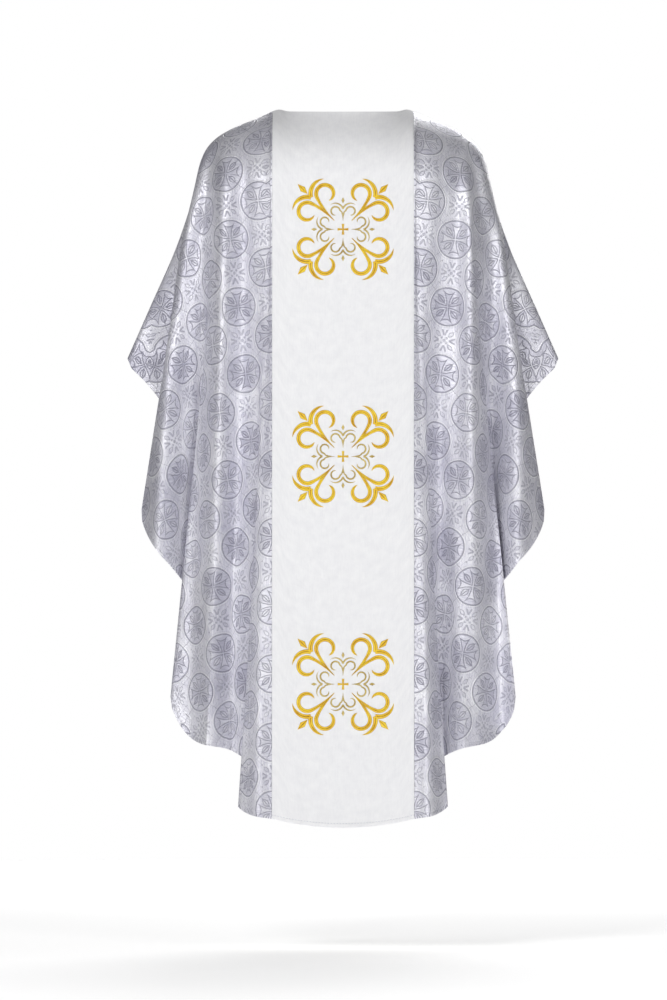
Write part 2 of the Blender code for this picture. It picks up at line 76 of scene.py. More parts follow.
Socket = bpy.types.NodeSocket
Adder = Callable[..., Socket]
Ribbon = tuple[np.ndarray, np.ndarray]
Values = float | np.ndarray

log = logging.getLogger("chasuble")


class Side(Enum):
    """Which half of the vestment a piece belongs to."""

    BACK = "back"
    FRONT = "front"

    @property
    def sign(self) -> float:
        """The side's direction along Y."""
        return -1.0 if self is Side.BACK else 1.0


class Hold(Enum):
    """How a sheet of cloth is held."""

    HUNG = "hung"
    DRAPED = "draped"


# ---------------------------------------------------------------------------------------------------- cloth


def lerp(start: Values, end: Values, share: Values) -> Values:
    """Mix two values.

    Args:
        start: Value at share 0.
        end: Value at share 1.
        share: How far along, as a number or an array.

    Returns:
        The mixed value.
    """
    return start + (end - start) * share


def spread(knots: np.ndarray, stations: np.ndarray) -> np.ndarray:
    """Lay smooth curves through knots, spaced by the distances between them.

    Args:
        knots: Points, as knots x curves x 3.
        stations: Where to read each curve, counted in knots.

    Returns:
        Points, as stations x curves x 3.
    """
    gaps = np.maximum(np.linalg.norm(np.diff(knots, axis=0), axis=2, keepdims=True), 1e-6)
    slopes = np.diff(knots, axis=0) / gaps
    inner = (slopes[:-1] * gaps[1:] + slopes[1:] * gaps[:-1]) / (gaps[:-1] + gaps[1:])
    tangents = np.concatenate((slopes[:1], inner, slopes[-1:]))
    points = []
    for station in stations:
        k = min(int(station), len(gaps) - 1)
        t = station - k
        rise = t * t * (3 - 2 * t)
        points.append(lerp(knots[k], knots[k + 1], rise) + tangents[k] * t * (1 - t) ** 2 * gaps[k]
                      - tangents[k + 1] * t * t * (1 - t) * gaps[k])
    return np.array(points)


def lengths_along(points: np.ndarray) -> np.ndarray:
    """Distances along a polyline.

    Args:
        points: The polyline's points, in order.

    Returns:
        The distance of each point from the first.
    """
    return np.concatenate(([0.0], np.cumsum(np.linalg.norm(np.diff(points, axis=0), axis=1))))


def smooth(value: np.ndarray) -> np.ndarray:
    """Rise smoothly from 0 to 1.

    Args:
        value: Where to read the rise, which starts at 0 and ends at 1.

    Returns:
        The height of the rise there.
    """
    t = np.clip(value, 0.0, 1.0)
    return t * t * (3 - 2 * t)


@dataclass(frozen=True)
class Fold:
    """A hang line of a side panel, as shares of the seam, the width, the depth and the fall."""

    seam: float
    knee_out: float
    knee_back: float
    knee_down: float
    foot_out: float
    foot_back: float
    foot_down: float
    flare: float


FOLDS = (
    Fold(0.020, 0.024, 1.00, 1.22, 0.165, 0.990, 0.971, 1.6),
    Fold(0.040, 0.041, 0.99, 1.22, 0.230, 0.913, 0.957, 1.6),
    Fold(0.070, 0.102, 0.97, 1.20, 0.047, 0.738, 0.902, 1.6),
    Fold(0.110, 0.180, 0.94, 1.18, 0.281, 0.680, 0.839, 1.2),
    Fold(0.158, 0.285, 0.89, 1.16, 0.539, 0.650, 0.817, 1.0),
    Fold(0.212, 0.362, 0.80, 1.06, 0.688, 0.476, 0.748, 1.0),
    Fold(0.256, 0.438, 0.66, 1.18, 0.512, 0.272, 0.531, 1.0),
    Fold(0.299, 0.512, 0.61, 1.08, 0.680, 0.359, 0.451, 1.0),
    Fold(0.345, 0.578, 0.53, 0.95, 0.820, 0.388, 0.400, 1.0),
    Fold(0.407, 0.625, 0.37, 0.84, 0.898, 0.262, 0.349, 1.0),
    Fold(0.568, 0.656, 0.16, 0.98, 0.688, 0.087, 0.141, 1.0),
    Fold(0.815, 0.863, 0.100, 0.44, 0.883, 0.062, 0.049, 1.0),
)


@dataclass
class Drape:
    """How one side of the vestment hangs: its outer surface, its flat pattern and its inward directions.

    Row and column marks give the fine grid's places of the seams, the edge strip and the lining's hem.
    """

    side: Side
    neck_half_width: float = 0.124
    shoulder: tuple[float, float] = (0.236, -0.060)
    upper_arm: tuple[float, float] = (0.272, -0.180)
    tip: tuple[float, float] = (0.380, -0.436)
    tip_edge: float = 0.018
    tip_round: float = 0.011
    drop: float = 1.2565
    knee_drop: float = 0.118
    swell: float = 0.006
    hem_rise: float = 0.015
    edge_strip: float = 0.016
    lining_rise: float = 0.012
    seam_gap: float = 0.0004
    line_steps: int = 96
    strip_steps: tuple[float, ...] = (0.25, 0.6, 1.0)
    turn_steps: tuple[float, ...] = (0.2, 0.33, 0.417, 0.5, 0.7, 0.88, 1.0)
    upper_steps: int = 5
    lower_steps: int = 24
    seam_steps: int = 40
    band_steps: int = 6
    fold_steps: int = 8
    near_band: tuple[float, ...] = (4.0, 4.06, 4.16)
    handle: float = 0.55
    short_line_share: float = 0.16
    upper_marks: tuple[float, ...] = (0.30, 0.64, 1.0)
    lower_marks: tuple[float, ...] = (0.24, 0.49, 0.75, 1.0)
    scoop_power: float = 0.6
    fan_degrees: float = 62.0
    fan_power: float = 0.8
    relax_rounds: tuple[tuple[int, int], ...] = ((8, 900), (4, 700), (2, 500), (1, 250))
    close_depth: float = 0.06
    wave_mm: tuple[float, float, float] = (15.0, 5.0, 1.0)
    wave_reach: tuple[float, float, float] = (0.0145, 0.0085, 0.0050)
    pucker_mm: float = 0.45
    hollow_mm: float = 17.0
    neck_depth: float = field(init=False)
    neck_dip: float = field(init=False)
    rise: float = field(init=False)
    depth: float = field(init=False)
    hem_depth: float = field(init=False)
    pitch: float = field(init=False)
    tuck: float = field(init=False)
    row_stations: np.ndarray = field(init=False)
    stations: np.ndarray = field(init=False)
    strip_row: int = field(init=False)
    hem_row: int = field(init=False)
    turn_row: int = field(init=False)
    stitch_row: int = field(init=False)
    middle: int = field(init=False)
    band_edge: int = field(init=False)
    seam: tuple[np.ndarray, np.ndarray] = field(init=False)
    points: np.ndarray = field(init=False)
    inward: np.ndarray = field(init=False)
    flat: np.ndarray = field(init=False)

    def __post_init__(self) -> None:
        """Lay out the grid and the flat pattern."""
        back = self.side is Side.BACK
        self.neck_depth, self.neck_dip, self.rise = (0.075, 0.004, 0.0) if back else (0.085, 0.060, 0.022)
        self.depth, self.hem_depth = (0.140, 0.206) if back else (0.152, 0.216)
        self.pitch, self.tuck = (0.12, 1.0) if back else (0.45, 0.965)
        self.row_stations = self.stations_of_rows()
        self.strip_row = len(self.strip_steps)
        self.hem_row = len(self.row_stations) - 1
        self.turn_row = self.hem_row - len(self.turn_steps)
        self.stitch_row = self.turn_row + 3
        band = np.arange(0, 4, 1 / self.band_steps)
        even = 4 + np.arange(2, (len(FOLDS) + 1) * self.fold_steps + 1) / self.fold_steps
        folds = np.concatenate((self.near_band, even))
        self.stations = np.concatenate((band, folds))
        self.middle = len(self.stations) - 1
        self.band_edge = len(band)
        self.seam = self.seam_curve()
        self.points = self.surface()
        self.flat = self.unrolled()
        self.add_ripples()
        self.flat = self.unrolled()
        self.inward = self.directions()
        self.points[0, :, 1] += self.side.sign * self.seam_gap / 2

    def stations_of_rows(self) -> np.ndarray:
        """Place the rows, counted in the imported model's own ten rows.

        Returns:
            The place of each row.
        """
        upper = 1 + np.arange(1, 3 * self.upper_steps + 1) / self.upper_steps
        lower = 4 + np.arange(1, 4 * self.lower_steps + 1) / self.lower_steps
        turn = 8 + np.array(self.turn_steps)
        return np.concatenate(([0.0], self.strip_steps, upper, lower, turn))

    def seam_curve(self) -> tuple[np.ndarray, np.ndarray]:
        """Lay out the right-hand shoulder seam.

        Returns:
            Its points, and their distances along it.
        """
        knots = np.array([(x, 0.0, z) for x, z in ((self.neck_half_width, 0.0), self.shoulder,
                                                   self.upper_arm, self.tip)])
        curve = spread(knots[:, None], np.arange(0, 3 * self.seam_steps + 1) / self.seam_steps)[:, 0]
        return curve, lengths_along(curve)

    def seam_point(self, share: float) -> np.ndarray:
        """Find a point on the right-hand shoulder seam.

        Args:
            share: How far along the seam, as a share of its length.

        Returns:
            The point.
        """
        curve, along = self.seam
        return np.array([np.interp(share * along[-1], along, curve[:, axis]) for axis in range(3)])

    def hang_line(self, top: np.ndarray, lead: np.ndarray, knee: np.ndarray, foot: np.ndarray,
                  flare: float = 1.0) -> np.ndarray:
        """Points of one line: a curve from the top to the knee, then down to the foot.

        Args:
            top: Where the line starts.
            lead: Its direction there.
            knee: Where it has turned down.
            foot: Its end on the hem.
            flare: How late it spreads below the knee.

        Returns:
            Points, twice line_steps and one.
        """
        shares = np.linspace(0.0, 1.0, self.line_steps + 1)[1:, None]
        fall = lerp(knee, foot, np.hstack((shares ** flare, shares ** flare, shares)))
        first = 1 / 32
        down = lerp(knee, foot, np.array([first ** flare, first ** flare, first])) - knee
        out = top + lead * self.handle * abs(knee[1] - top[1])
        into = knee - down / np.linalg.norm(down) * self.handle * abs(knee[2] - top[2])
        t = np.concatenate(([[0.0]], shares))
        bow = (top * (1 - t) ** 3 + out * 3 * t * (1 - t) ** 2 + into * 3 * t * t * (1 - t) + knee * t ** 3)
        return np.vstack((bow, fall))

    def rows_of(self, line: np.ndarray) -> np.ndarray:
        """Find where the rows cross a line.

        Args:
            line: A hang line's points.

        Returns:
            One point for each row.
        """
        along = lengths_along(line)
        length, knee = along[-1], along[self.line_steps]
        most = self.short_line_share * length
        strip, turn = min(self.edge_strip, most), min(self.lining_rise, most)
        marks = [0.0, strip] + [lerp(strip, knee, share) for share in self.upper_marks]
        marks += [lerp(knee, length - turn, share) for share in self.lower_marks] + [length]
        at = np.interp(self.row_stations, np.arange(10), marks)
        return np.stack([np.interp(at, along, line[:, axis]) for axis in range(3)], axis=1)

    def band_line(self, share: float) -> np.ndarray:
        """Lay out a hang line of the middle band.

        Args:
            share: How far out it hangs, as a share of the band's half width.

        Returns:
            The line's points.
        """
        sign, x = self.side.sign, self.neck_half_width * share
        scoop, swell = (1 - share ** 2) ** self.scoop_power, self.swell * (1 - share ** 2)
        over = np.array([0.0, sign, -self.pitch])
        return self.hang_line(
            np.array([x, sign * self.neck_depth * scoop, -self.neck_dip * scoop]),
            lerp(over, np.array([0.0, sign * 0.6, -0.8]), scoop),
            np.array([x, sign * (self.depth + swell), -self.knee_drop - self.neck_dip / 2]),
            np.array([x, sign * (self.hem_depth + swell),
                      self.rise - self.drop + self.hem_rise * share ** 2]))

    def fold_line(self, fold: Fold) -> np.ndarray:
        """Lay out a hang line of a side panel.

        Args:
            fold: The line's shares.

        Returns:
            The line's points.
        """
        sign, top = self.side.sign, self.seam_point(fold.seam)
        span, inner = (self.tip[0] - self.neck_half_width) * self.tuck, self.neck_half_width
        foot = np.array([inner + span * fold.foot_out, sign * self.hem_depth * fold.foot_back,
                         self.rise * fold.foot_down + lerp(self.tip[1], -self.drop, fold.foot_down)])
        knee = np.array([inner + span * fold.knee_out, sign * self.depth * fold.knee_back,
                         top[2] - self.knee_drop * fold.knee_down])
        return self.hang_line(top, np.array([0.0, sign, -self.pitch]), knee, foot, fold.flare)

    def tip_line(self) -> np.ndarray:
        """Lay out the short line that closes a side panel at the tip.

        Returns:
            The line's points.
        """
        sign, top, edge = self.side.sign, self.seam_point(1.0), self.tip_edge
        knee = top + np.array([-0.2 * edge, sign * self.tip_round, -0.5 * edge])
        foot = top + np.array([-0.4 * edge, sign * self.tip_round, -edge])
        return self.hang_line(top, np.array([0.0, sign, -self.pitch]), knee, foot)

    def surface(self) -> np.ndarray:
        """Lay out the outer surface from the left tip to the right tip.

        Returns:
            Points, as rows x columns x 3.
        """
        lines = [self.band_line(k / 4) for k in range(5)] + [self.fold_line(fold) for fold in FOLDS]
        right = np.array([self.rows_of(line) for line in lines + [self.tip_line()]])
        mirror = np.array([-1.0, 1.0, 1.0])
        whole = np.concatenate((right[:0:-1] * mirror, right))
        half = spread(whole, len(right) - 1 + self.stations)
        half[0, :, 0] = 0.0
        return np.concatenate((half[:0:-1] * mirror, half)).transpose(1, 0, 2).copy()

    def unrolled(self) -> np.ndarray:
        """Lay the cloth flat.

        The band is straight cloth. A panel is pinned to the band's edge and its other lengths are relaxed
        towards the lengths that the hanging cloth has, first on a coarse grid and then on finer ones.

        Returns:
            The flat pattern in metres, rows x columns x 2.
        """
        right = self.points[:, self.middle:]
        along = np.stack([lengths_along(right[:, c]) for c in range(right.shape[1])], axis=1)
        flat = np.stack((np.broadcast_to(right[-1, :, 0], along.shape), -along), axis=2).copy()
        panel = right[:, self.band_edge:]
        down = along[:, self.band_edge:]
        across = np.linspace(0.0, 1.0, panel.shape[1]) ** self.fan_power * math.radians(self.fan_degrees)
        start = panel[0][:, [0, 2]] * np.array([1.0, 0.55])
        guess = start[None] + down[..., None] * np.stack((np.sin(across), -np.cos(across)), axis=1)[None]
        rows, columns = panel.shape[:2]
        held = flat[:, self.band_edge]
        laid, laid_rows, laid_columns = guess, np.arange(rows), np.arange(columns)
        for step, rounds in self.relax_rounds:
            some_rows = np.unique(np.append(np.arange(0, rows, step), rows - 1))
            some_columns = np.unique(np.append(np.arange(0, columns, step), columns - 1))
            laid = resample(laid, laid_rows, laid_columns, some_rows, some_columns)
            laid = relax(laid, panel[np.ix_(some_rows, some_columns)], held[some_rows], rounds)
            laid_rows, laid_columns = some_rows, some_columns
        flat[:, self.band_edge:] = laid
        return np.concatenate((flat[:, :0:-1] * np.array([-1.0, 1.0]), flat), axis=1)

    def add_ripples(self) -> None:
        """Soft secondary folds that hang down the panels.

        They depend on where the cloth is more than on which cloth it is, so layers of one fold move nearly
        together.
        They fade at the seams and where the back and the front lie close.
        """
        normals = self.directions()
        x, z = np.abs(self.points[..., 0]), self.points[..., 2]
        left = (self.points[..., 0] < 0) * 1.0
        outward = self.side.sign * self.points[..., 1]
        reach = x - self.neck_half_width
        fallen = -self.flat[..., 1]
        apart = smooth(outward / self.close_depth)
        fade = smooth(reach / 0.05) * smooth(fallen / 0.30) * apart
        fade = fade * (0.8 + 0.8 * smooth(-z / 0.8))
        turn = -0.35 * z + 0.9 * left + (0.6 if self.side is Side.FRONT else 0.0)
        broad, middling, narrow = (reach / length for length in self.wave_reach)
        waves = (self.wave_mm[0] * np.sin(broad + 1.1 * np.sin(-2.1 * z + 1.7 * left) + turn)
                 + self.wave_mm[1] * np.sin(middling + 1.6 * np.sin(-2.9 * z + 0.8) + 2.3 * left)
                 + self.wave_mm[2] * np.sin(narrow + 2.2 * np.sin(-3.7 * z + left) - turn))
        # short puckers where the panels are sewn to the band
        pucker = self.pucker_mm * np.sin(fallen / 0.0062 + 2.0 * np.sin(fallen * 9))
        pucker = pucker * np.exp(-np.abs(reach) / 0.018)
        pucker = pucker * (reach > 0) * smooth(fallen / 0.10) * smooth(reach / 0.004)
        # the hollow between the shoulder and the upper arm
        hollow = np.exp(-(((x - 0.222 + 0.17 * (z + 0.06)) / 0.013) ** 2))
        hollow = hollow * smooth((-z - 0.045) / 0.06) * smooth((z + 0.34) / 0.16) * apart
        # they stand out along Y, so that the outline seen from behind keeps its place
        self.points[..., 1] += self.side.sign * (waves * fade - self.hollow_mm * hollow) * MM
        self.points -= normals * (pucker * MM)[..., None]

    def directions(self) -> np.ndarray:
        """Find the directions into the cloth. On the shoulder seams they lie square to Y.

        Returns:
            One unit vector for each point.
        """
        down = np.gradient(self.points, axis=0)
        across = np.gradient(self.points, axis=1)
        normals = np.cross(down, across) * self.side.sign
        normals[0, : self.middle - self.band_edge + 1, 1] = 0.0
        normals[0, self.middle + self.band_edge:, 1] = 0.0
        lengths = np.linalg.norm(normals, axis=2, keepdims=True)
        return normals / np.maximum(lengths, TINY)

    def band_height(self, x: float, z: float, height: float) -> Vector:
        """Find a point over the band, below the place where it turns down.

        Args:
            x: Place across.
            z: Place up.
            height: How far the point stands off the band.

        Returns:
            The point.
        """
        share = (x / self.neck_half_width) ** 2
        swell = self.swell * (1 - share)
        knee, foot = -self.knee_drop - self.neck_dip / 2, self.rise - self.drop + self.hem_rise * share
        y = lerp(self.depth, self.hem_depth, (knee - z) / (knee - foot)) + swell
        return Vector((x, self.side.sign * (y + height), z))


def resample(values: np.ndarray, rows: np.ndarray, columns: np.ndarray, to_rows: np.ndarray,
             to_columns: np.ndarray) -> np.ndarray:
    """Read a grid of 2-D points at other rows and columns, straight between its own.

    Args:
        values: The points, rows x columns x 2.
        rows: Numbers of the grid's rows.
        columns: Numbers of its columns.
        to_rows: Rows to read.
        to_columns: Columns to read.

    Returns:
        The points there.
    """
    by_row = np.stack([[np.interp(to_rows, rows, values[:, c, k]) for c in range(len(columns))]
                       for k in range(2)], axis=2)
    return np.stack([[np.interp(to_columns, columns, by_row[:, r, k]) for r in range(len(to_rows))]
                     for k in range(2)], axis=2)


def relax(laid: np.ndarray, hanging: np.ndarray, held: np.ndarray, rounds: int) -> np.ndarray:
    """Move a flat grid until its edge lengths match the hanging cloth's.

    Args:
        laid: First guess, rows x columns x 2.
        hanging: The same grid in space, rows x columns x 3.
        held: Where the first column is pinned.
        rounds: How often to go over it.

    Returns:
        The relaxed grid.
    """
    laid = laid.copy()
    cuts = ((slice(None), slice(None, -1), slice(None), slice(1, None), 1.0),
            (slice(None, -1), slice(None), slice(1, None), slice(None), 1.0),
            (slice(None, -1), slice(None, -1), slice(1, None), slice(1, None), 0.5),
            (slice(None, -1), slice(1, None), slice(1, None), slice(None, -1), 0.5))
    wanted = [np.linalg.norm(hanging[c, d] - hanging[a, b], axis=2, keepdims=True) for a, b, c, d, _ in cuts]
    for _ in range(rounds):
        moves = np.zeros_like(laid)
        for (a, b, c, d, weight), length in zip(cuts, wanted):
            gap = laid[c, d] - laid[a, b]
            size = np.maximum(np.linalg.norm(gap, axis=2, keepdims=True), TINY)
            pull = gap * ((1 - length / size) * weight * 0.24)
            moves[a, b] += pull
            moves[c, d] -= pull
        laid += moves
        laid[:, 0] = held
    return laid


@dataclass(frozen=True)
class Cut:
    """Which rows and columns of a drape a piece covers, and its depth and thickness in metres.

    Beyond the band, where there is no interlining, a lining rises to its side_depth. The stay tapes at the
    shoulders do lie there, and the lining passes through them.
    """

    rows: tuple[int, int]
    columns: tuple[int, int]
    depth: float
    thickness: float
    turned_hem: float = 0.0
    stitch_dip: float = 0.0
    side_depth: float | None = None
    trim: tuple[float, float] = (0.0, 0.0)


def sheet_mesh(name: str, outer: np.ndarray, inner: np.ndarray, flat: np.ndarray) -> bpy.types.Object:
    """A closed sheet of cloth between two skins, with the flat pattern as its UV map in metres.

    Args:
        name: Piece name.
        outer: Outer skin, rows x columns x 3.
        inner: Inner skin, in the same order.
        flat: Flat pattern, rows x columns x 2.

    Returns:
        The linked object.
    """
    rows, columns = outer.shape[:2]
    work = bmesh.new()
    bmesh.ops.create_grid(work, x_segments=columns - 1, y_segments=rows - 1, size=1.0)
    place = work.verts.layers.int.new("place")
    for vert in work.verts:
        row = round((vert.co.y + 1) / 2 * (rows - 1))
        vert[place] = row * columns + round((vert.co.x + 1) / 2 * (columns - 1))
    skin = bmesh.ops.extrude_face_region(work, geom=work.faces[:], use_keep_orig=True)
    raised = {item for item in skin["geom"] if isinstance(item, bmesh.types.BMVert)}
    outside, inside = outer.reshape(-1, 3), inner.reshape(-1, 3)
    for vert in work.verts:
        vert.co = inside[vert[place]] if vert in raised else outside[vert[place]]
    bmesh.ops.recalc_face_normals(work, faces=work.faces)
    mesh = bpy.data.meshes.new(name)
    work.to_mesh(mesh)
    work.free()
    places = np.empty(len(mesh.vertices), dtype=np.int32)
    mesh.attributes["place"].data.foreach_get("value", places)
    corners = np.empty(len(mesh.loops), dtype=np.int32)
    mesh.loops.foreach_get("vertex_index", corners)
    layer = mesh.uv_layers.new(name="flat")
    layer.uv.foreach_set("vector", flat.reshape(-1, 2)[places[corners]].astype(np.float32).ravel())
    mesh.attributes.remove(mesh.attributes["place"])
    return finish_mesh(name, mesh)


def finish_mesh(name: str, mesh: bpy.types.Mesh, sharp: float = 55.0) -> bpy.types.Object:
    """Smooth a mesh between its sharp edges and link it as an object.

    Args:
        name: Piece name.
        mesh: The finished mesh.
        sharp: Angle in degrees from which an edge stays sharp.

    Returns:
        The linked object.
    """
    mesh.shade_smooth()
    mesh.set_sharp_from_angle(angle=math.radians(sharp))
    piece = bpy.data.objects.new(name, mesh)
    bpy.context.scene.collection.objects.link(piece)
    return piece


def cut_cloth(name: str, drape: Drape, cut: Cut) -> tuple[bpy.types.Object, np.ndarray]:
    """Cut a piece of cloth from a drape.

    Args:
        name: Piece name.
        drape: The side it hangs on.
        cut: Where it lies and how thick it is.

    Returns:
        The object, and its flat pattern.
    """
    rows, columns = slice(cut.rows[0], cut.rows[1] + 1), slice(cut.columns[0], cut.columns[1] + 1)
    points, inward = drape.points[rows, columns].copy(), drape.inward[rows, columns]
    for edge, inner in ((0, 1), (-1, -2)):
        across = points[:, inner] - points[:, edge]
        points[:, edge] += across / np.linalg.norm(across, axis=1)[:, None] * cut.trim[edge]
    numbers = np.arange(cut.rows[0], cut.rows[1] + 1)
    depth = np.full(len(numbers), cut.depth)
    depth[numbers == drape.stitch_row] += cut.stitch_dip
    thick = np.where(numbers > drape.turn_row, cut.thickness + cut.turned_hem, cut.thickness)
    rise = np.zeros(points.shape[1])
    if cut.side_depth is not None:
        beyond = np.abs(np.arange(cut.columns[0], cut.columns[1] + 1) - drape.middle) - drape.band_edge
        rise = (cut.side_depth - cut.depth) * smooth((beyond - 1) / 8)
    outer = points + inward * (depth[:, None] + rise)[..., None]
    inner = points + inward * ((cut.depth + thick)[:, None] + rise)[..., None]
    flat = drape.flat[rows, columns]
    return sheet_mesh(name, outer, inner, flat), flat


# ------------------------------------------------------------------------------------------------- finishes


def linear(code: str) -> tuple[float, float, float, float]:
    """Turn an sRGB hex colour into a linear one.

    Args:
        code: The colour as "#RRGGBB".

    Returns:
        Red, green, blue and alpha.
    """
    parts = [int(code[k:k + 2], 16) / 255 for k in (1, 3, 5)]
    return (*[c / 12.92 if c <= 0.04045 else ((c + 0.055) / 1.055) ** 2.4 for c in parts], 1.0)


def add_node(tree: bpy.types.NodeTree, kind: str, *inputs: object, out: int = 0,
             **settings: object) -> Socket | bpy.types.Node:
    """Add a node, set it up and link it.

    Args:
        tree: The material's tree.
        kind: Node kind without its ShaderNode prefix, with ":" and its operation or interpolation where
            it has one.
        inputs: Value, socket or None for each input in turn.
        out: Which output to hand back.
        settings: The node's own settings.

    Returns:
        The output socket, or the node where it has no output.
    """
    kind, _, mode = kind.partition(":")
    node = tree.nodes.new(f"ShaderNode{kind}")
    if mode:
        setattr(node, "operation" if hasattr(node, "operation") else "interpolation_type", mode)
    for key, value in settings.items():
        setattr(node, key, value)
    for socket, value in zip(node.inputs, inputs):
        if isinstance(value, bpy.types.NodeSocket):
            tree.links.new(value, socket)
        elif value is not None:
            socket.default_value = value
    return node.outputs[out] if node.outputs else node


@dataclass(frozen=True)
class Finish:
    """A material with a principled shader, ready for its pattern."""

    name: str
    slot: str

    def start(self) -> tuple[bpy.types.Material, bpy.types.NodeTree, bpy.types.Node]:
        """Start a material.

        Returns:
            The material, its tree and its shader.
        """
        material = bpy.data.materials.new(self.name)
        material.use_nodes = True
        return material, material.node_tree, material.node_tree.nodes["Principled BSDF"]

    def make(self) -> bpy.types.Material:
        """Build the material. A plain finish has no pattern."""
        return self.start()[0]

    def dress(self, piece: bpy.types.Object) -> None:
        """Put the finish on a piece.

        Args:
            piece: The piece to dress.
        """
        material = bpy.data.materials.get(self.name) or self.make()
        piece.data.materials.clear()
        piece.data.materials.append(material)


@dataclass(frozen=True)
class SilverBrocade(Finish):
    """Jacquard-woven rayon and silver thread: streaky satin ground with painted sheen and glints, duller
    figures painted light on some medallions and dark on others, raised outlines with a painted highlight
    ring.
    """

    name: str = "jacquard_woven_silver_brocade"
    slot: str = "silver_brocade"
    ground: str = "#DAD9E4"
    figure: str = "#BBBACA"
    outline: str = "#6F6E84"
    # glint is the colour of painted highlights: the brightest thread streaks, the light figures and the ring
    # beside each medallion's outline
    glint: str = "#FBFBFF"
    column_mm: float = 61.0
    repeat_mm: float = 119.0
    ring_mm: float = 33.0

    def nearest(self, add: Adder, cloth: Socket, shift: float) -> tuple[Socket, Socket]:
        """Find the nearest repeat of a half-drop lattice.

        Args:
            add: Adds a node to the tree.
            cloth: Place on the flat pattern, in millimetres.
            shift: How far the lattice is moved up.

        Returns:
            The place within that repeat, and its distance from the middle.
        """
        a, b = self.column_mm, self.repeat_mm / 2
        spots = []
        for dx, dy in ((0.0, 0.0), (a, b)):
            moved = add("VectorMath:SUBTRACT", cloth, (dx, dy + shift, 0.0))
            moved = add("VectorMath:WRAP", moved, (a, b, 1.0), (-a, -b, -1.0))
            spots.append(add("VectorMath:MULTIPLY", moved, (1.0, 1.0, 0.0)))
        sizes = [add("VectorMath:LENGTH", spot, out=1) for spot in spots]
        second = add("Math:LESS_THAN", sizes[1], sizes[0])
        return add("MixRGB", second, spots[0], spots[1]), add("Math:MINIMUM", sizes[0], sizes[1])

    def folded(self, add: Adder, spot: Socket) -> tuple[Socket, Socket, Socket, Socket]:
        """Fold a repeat onto one eighth of itself.

        Args:
            add: Adds a node to the tree.
            spot: Place within the repeat.

        Returns:
            The longer and the shorter coordinate, and the ones along and off the diagonal.
        """
        size = add("VectorMath:ABSOLUTE", spot)
        split = add("SeparateXYZ", size).node
        x, y = split.outputs[0], split.outputs[1]
        along = add("Math:MULTIPLY", add("Math:ADD", x, y), HALF_ROOT)
        off = add("Math:MULTIPLY", add("Math:ABSOLUTE", add("Math:SUBTRACT", x, y)), HALF_ROOT)
        return add("Math:MAXIMUM", x, y), add("Math:MINIMUM", x, y), along, off

    def leaf(self, add: Adder, along: Socket, off: Socket, start: float, length: float,
             half_width: float) -> Socket:
        """Shape a pointed leaf on the diagonal.

        Args:
            add: Adds a node to the tree.
            along: Place along the diagonal.
            off: Distance from it.
            start: Where the leaf starts.
            length: Its length.
            half_width: Its half width.

        Returns:
            How far inside the leaf a place lies, in millimetres.
        """
        phase = add("Math:MULTIPLY", add("Math:SUBTRACT", along, start), math.pi / length)
        phase = add("Math:MINIMUM", add("Math:MAXIMUM", phase, 0.0), math.pi)
        return add("Math:SUBTRACT", add("Math:MULTIPLY", add("Math:SINE", phase), half_width), off)

    def make(self) -> bpy.types.Material:
        """Build the material on the flat pattern in millimetres.

        Returns:
            The material.
        """
        material, tree, shader = self.start()
        add = partial(add_node, tree)
        metres = add("UVMap", uv_map="flat")
        cloth = add("VectorMath:MULTIPLY", metres, TO_MM)
        wander = add("TexNoise", cloth, None, 0.35, 2.0, out=1)
        wander = add("VectorMath:SUBTRACT", wander, (0.5, 0.5, 0.5))
        cloth = add("VectorMath:MULTIPLY_ADD", wander, (1.4, 1.4, 0.0), cloth)
        # medallion: a ring, a cross with flared arms and four leaves
        spot, far = self.nearest(add, cloth, 0.0)
        longer, shorter, along, off = self.folded(add, spot)
        arm = add("Math:MULTIPLY_ADD", add("Math:MULTIPLY", longer, longer), 0.0105, 2.2)
        arm = add("Math:SUBTRACT", arm, shorter)
        arm_end = add("Math:MULTIPLY_ADD", add("Math:MULTIPLY", shorter, shorter), 0.05, 22.5)
        arm_end = add("Math:SUBTRACT", arm_end, longer)
        cross = add("Math:MINIMUM", arm, arm_end)
        leaves = self.leaf(add, along, off, 8.0, 20.0, 5.0)
        vein = add("Math:SUBTRACT", 0.9, off)
        ring = add("Math:SUBTRACT", 1.2, add("Math:ABSOLUTE", add("Math:SUBTRACT", far, self.ring_mm)))
        # a thin ring just outside each medallion's ring, raised by the bump and also painted as a highlight
        highlight_ring = add("Math:SUBTRACT", 1.0, add("Math:ABSOLUTE", add("Math:SUBTRACT", far, self.ring_mm + 2.3)))
        highlight_ring = add("MapRange:SMOOTHSTEP", highlight_ring, -0.5, 0.8)
        disc = add("MapRange:SMOOTHSTEP", add("Math:SUBTRACT", self.ring_mm, far), -0.6, 0.6)
        # floret between the medallions: a dot, four hatched leaves and four forked petals
        lone, near = self.nearest(add, cloth, self.repeat_mm / 2)
        long_side, short_side, slant, beside = self.folded(add, lone)
        dot = add("Math:SUBTRACT", 2.6, near)
        dots = add("Math:SUBTRACT", 1.5, add("Math:ABSOLUTE", add("Math:SUBTRACT", near, 6.2)))
        small_leaves = self.leaf(add, slant, beside, 9.0, 14.0, 3.6)
        prong = add("Math:MULTIPLY", add("Math:SUBTRACT", long_side, 8.5), 0.42)
        fork = add("Math:SUBTRACT", 1.4, add("Math:ABSOLUTE", add("Math:SUBTRACT", short_side, prong)))
        ends = add("Math:SUBTRACT", 19.0, long_side)
        ends = add("Math:MINIMUM", add("Math:SUBTRACT", long_side, 9.0), ends)
        fork = add("Math:MINIMUM", fork, ends)
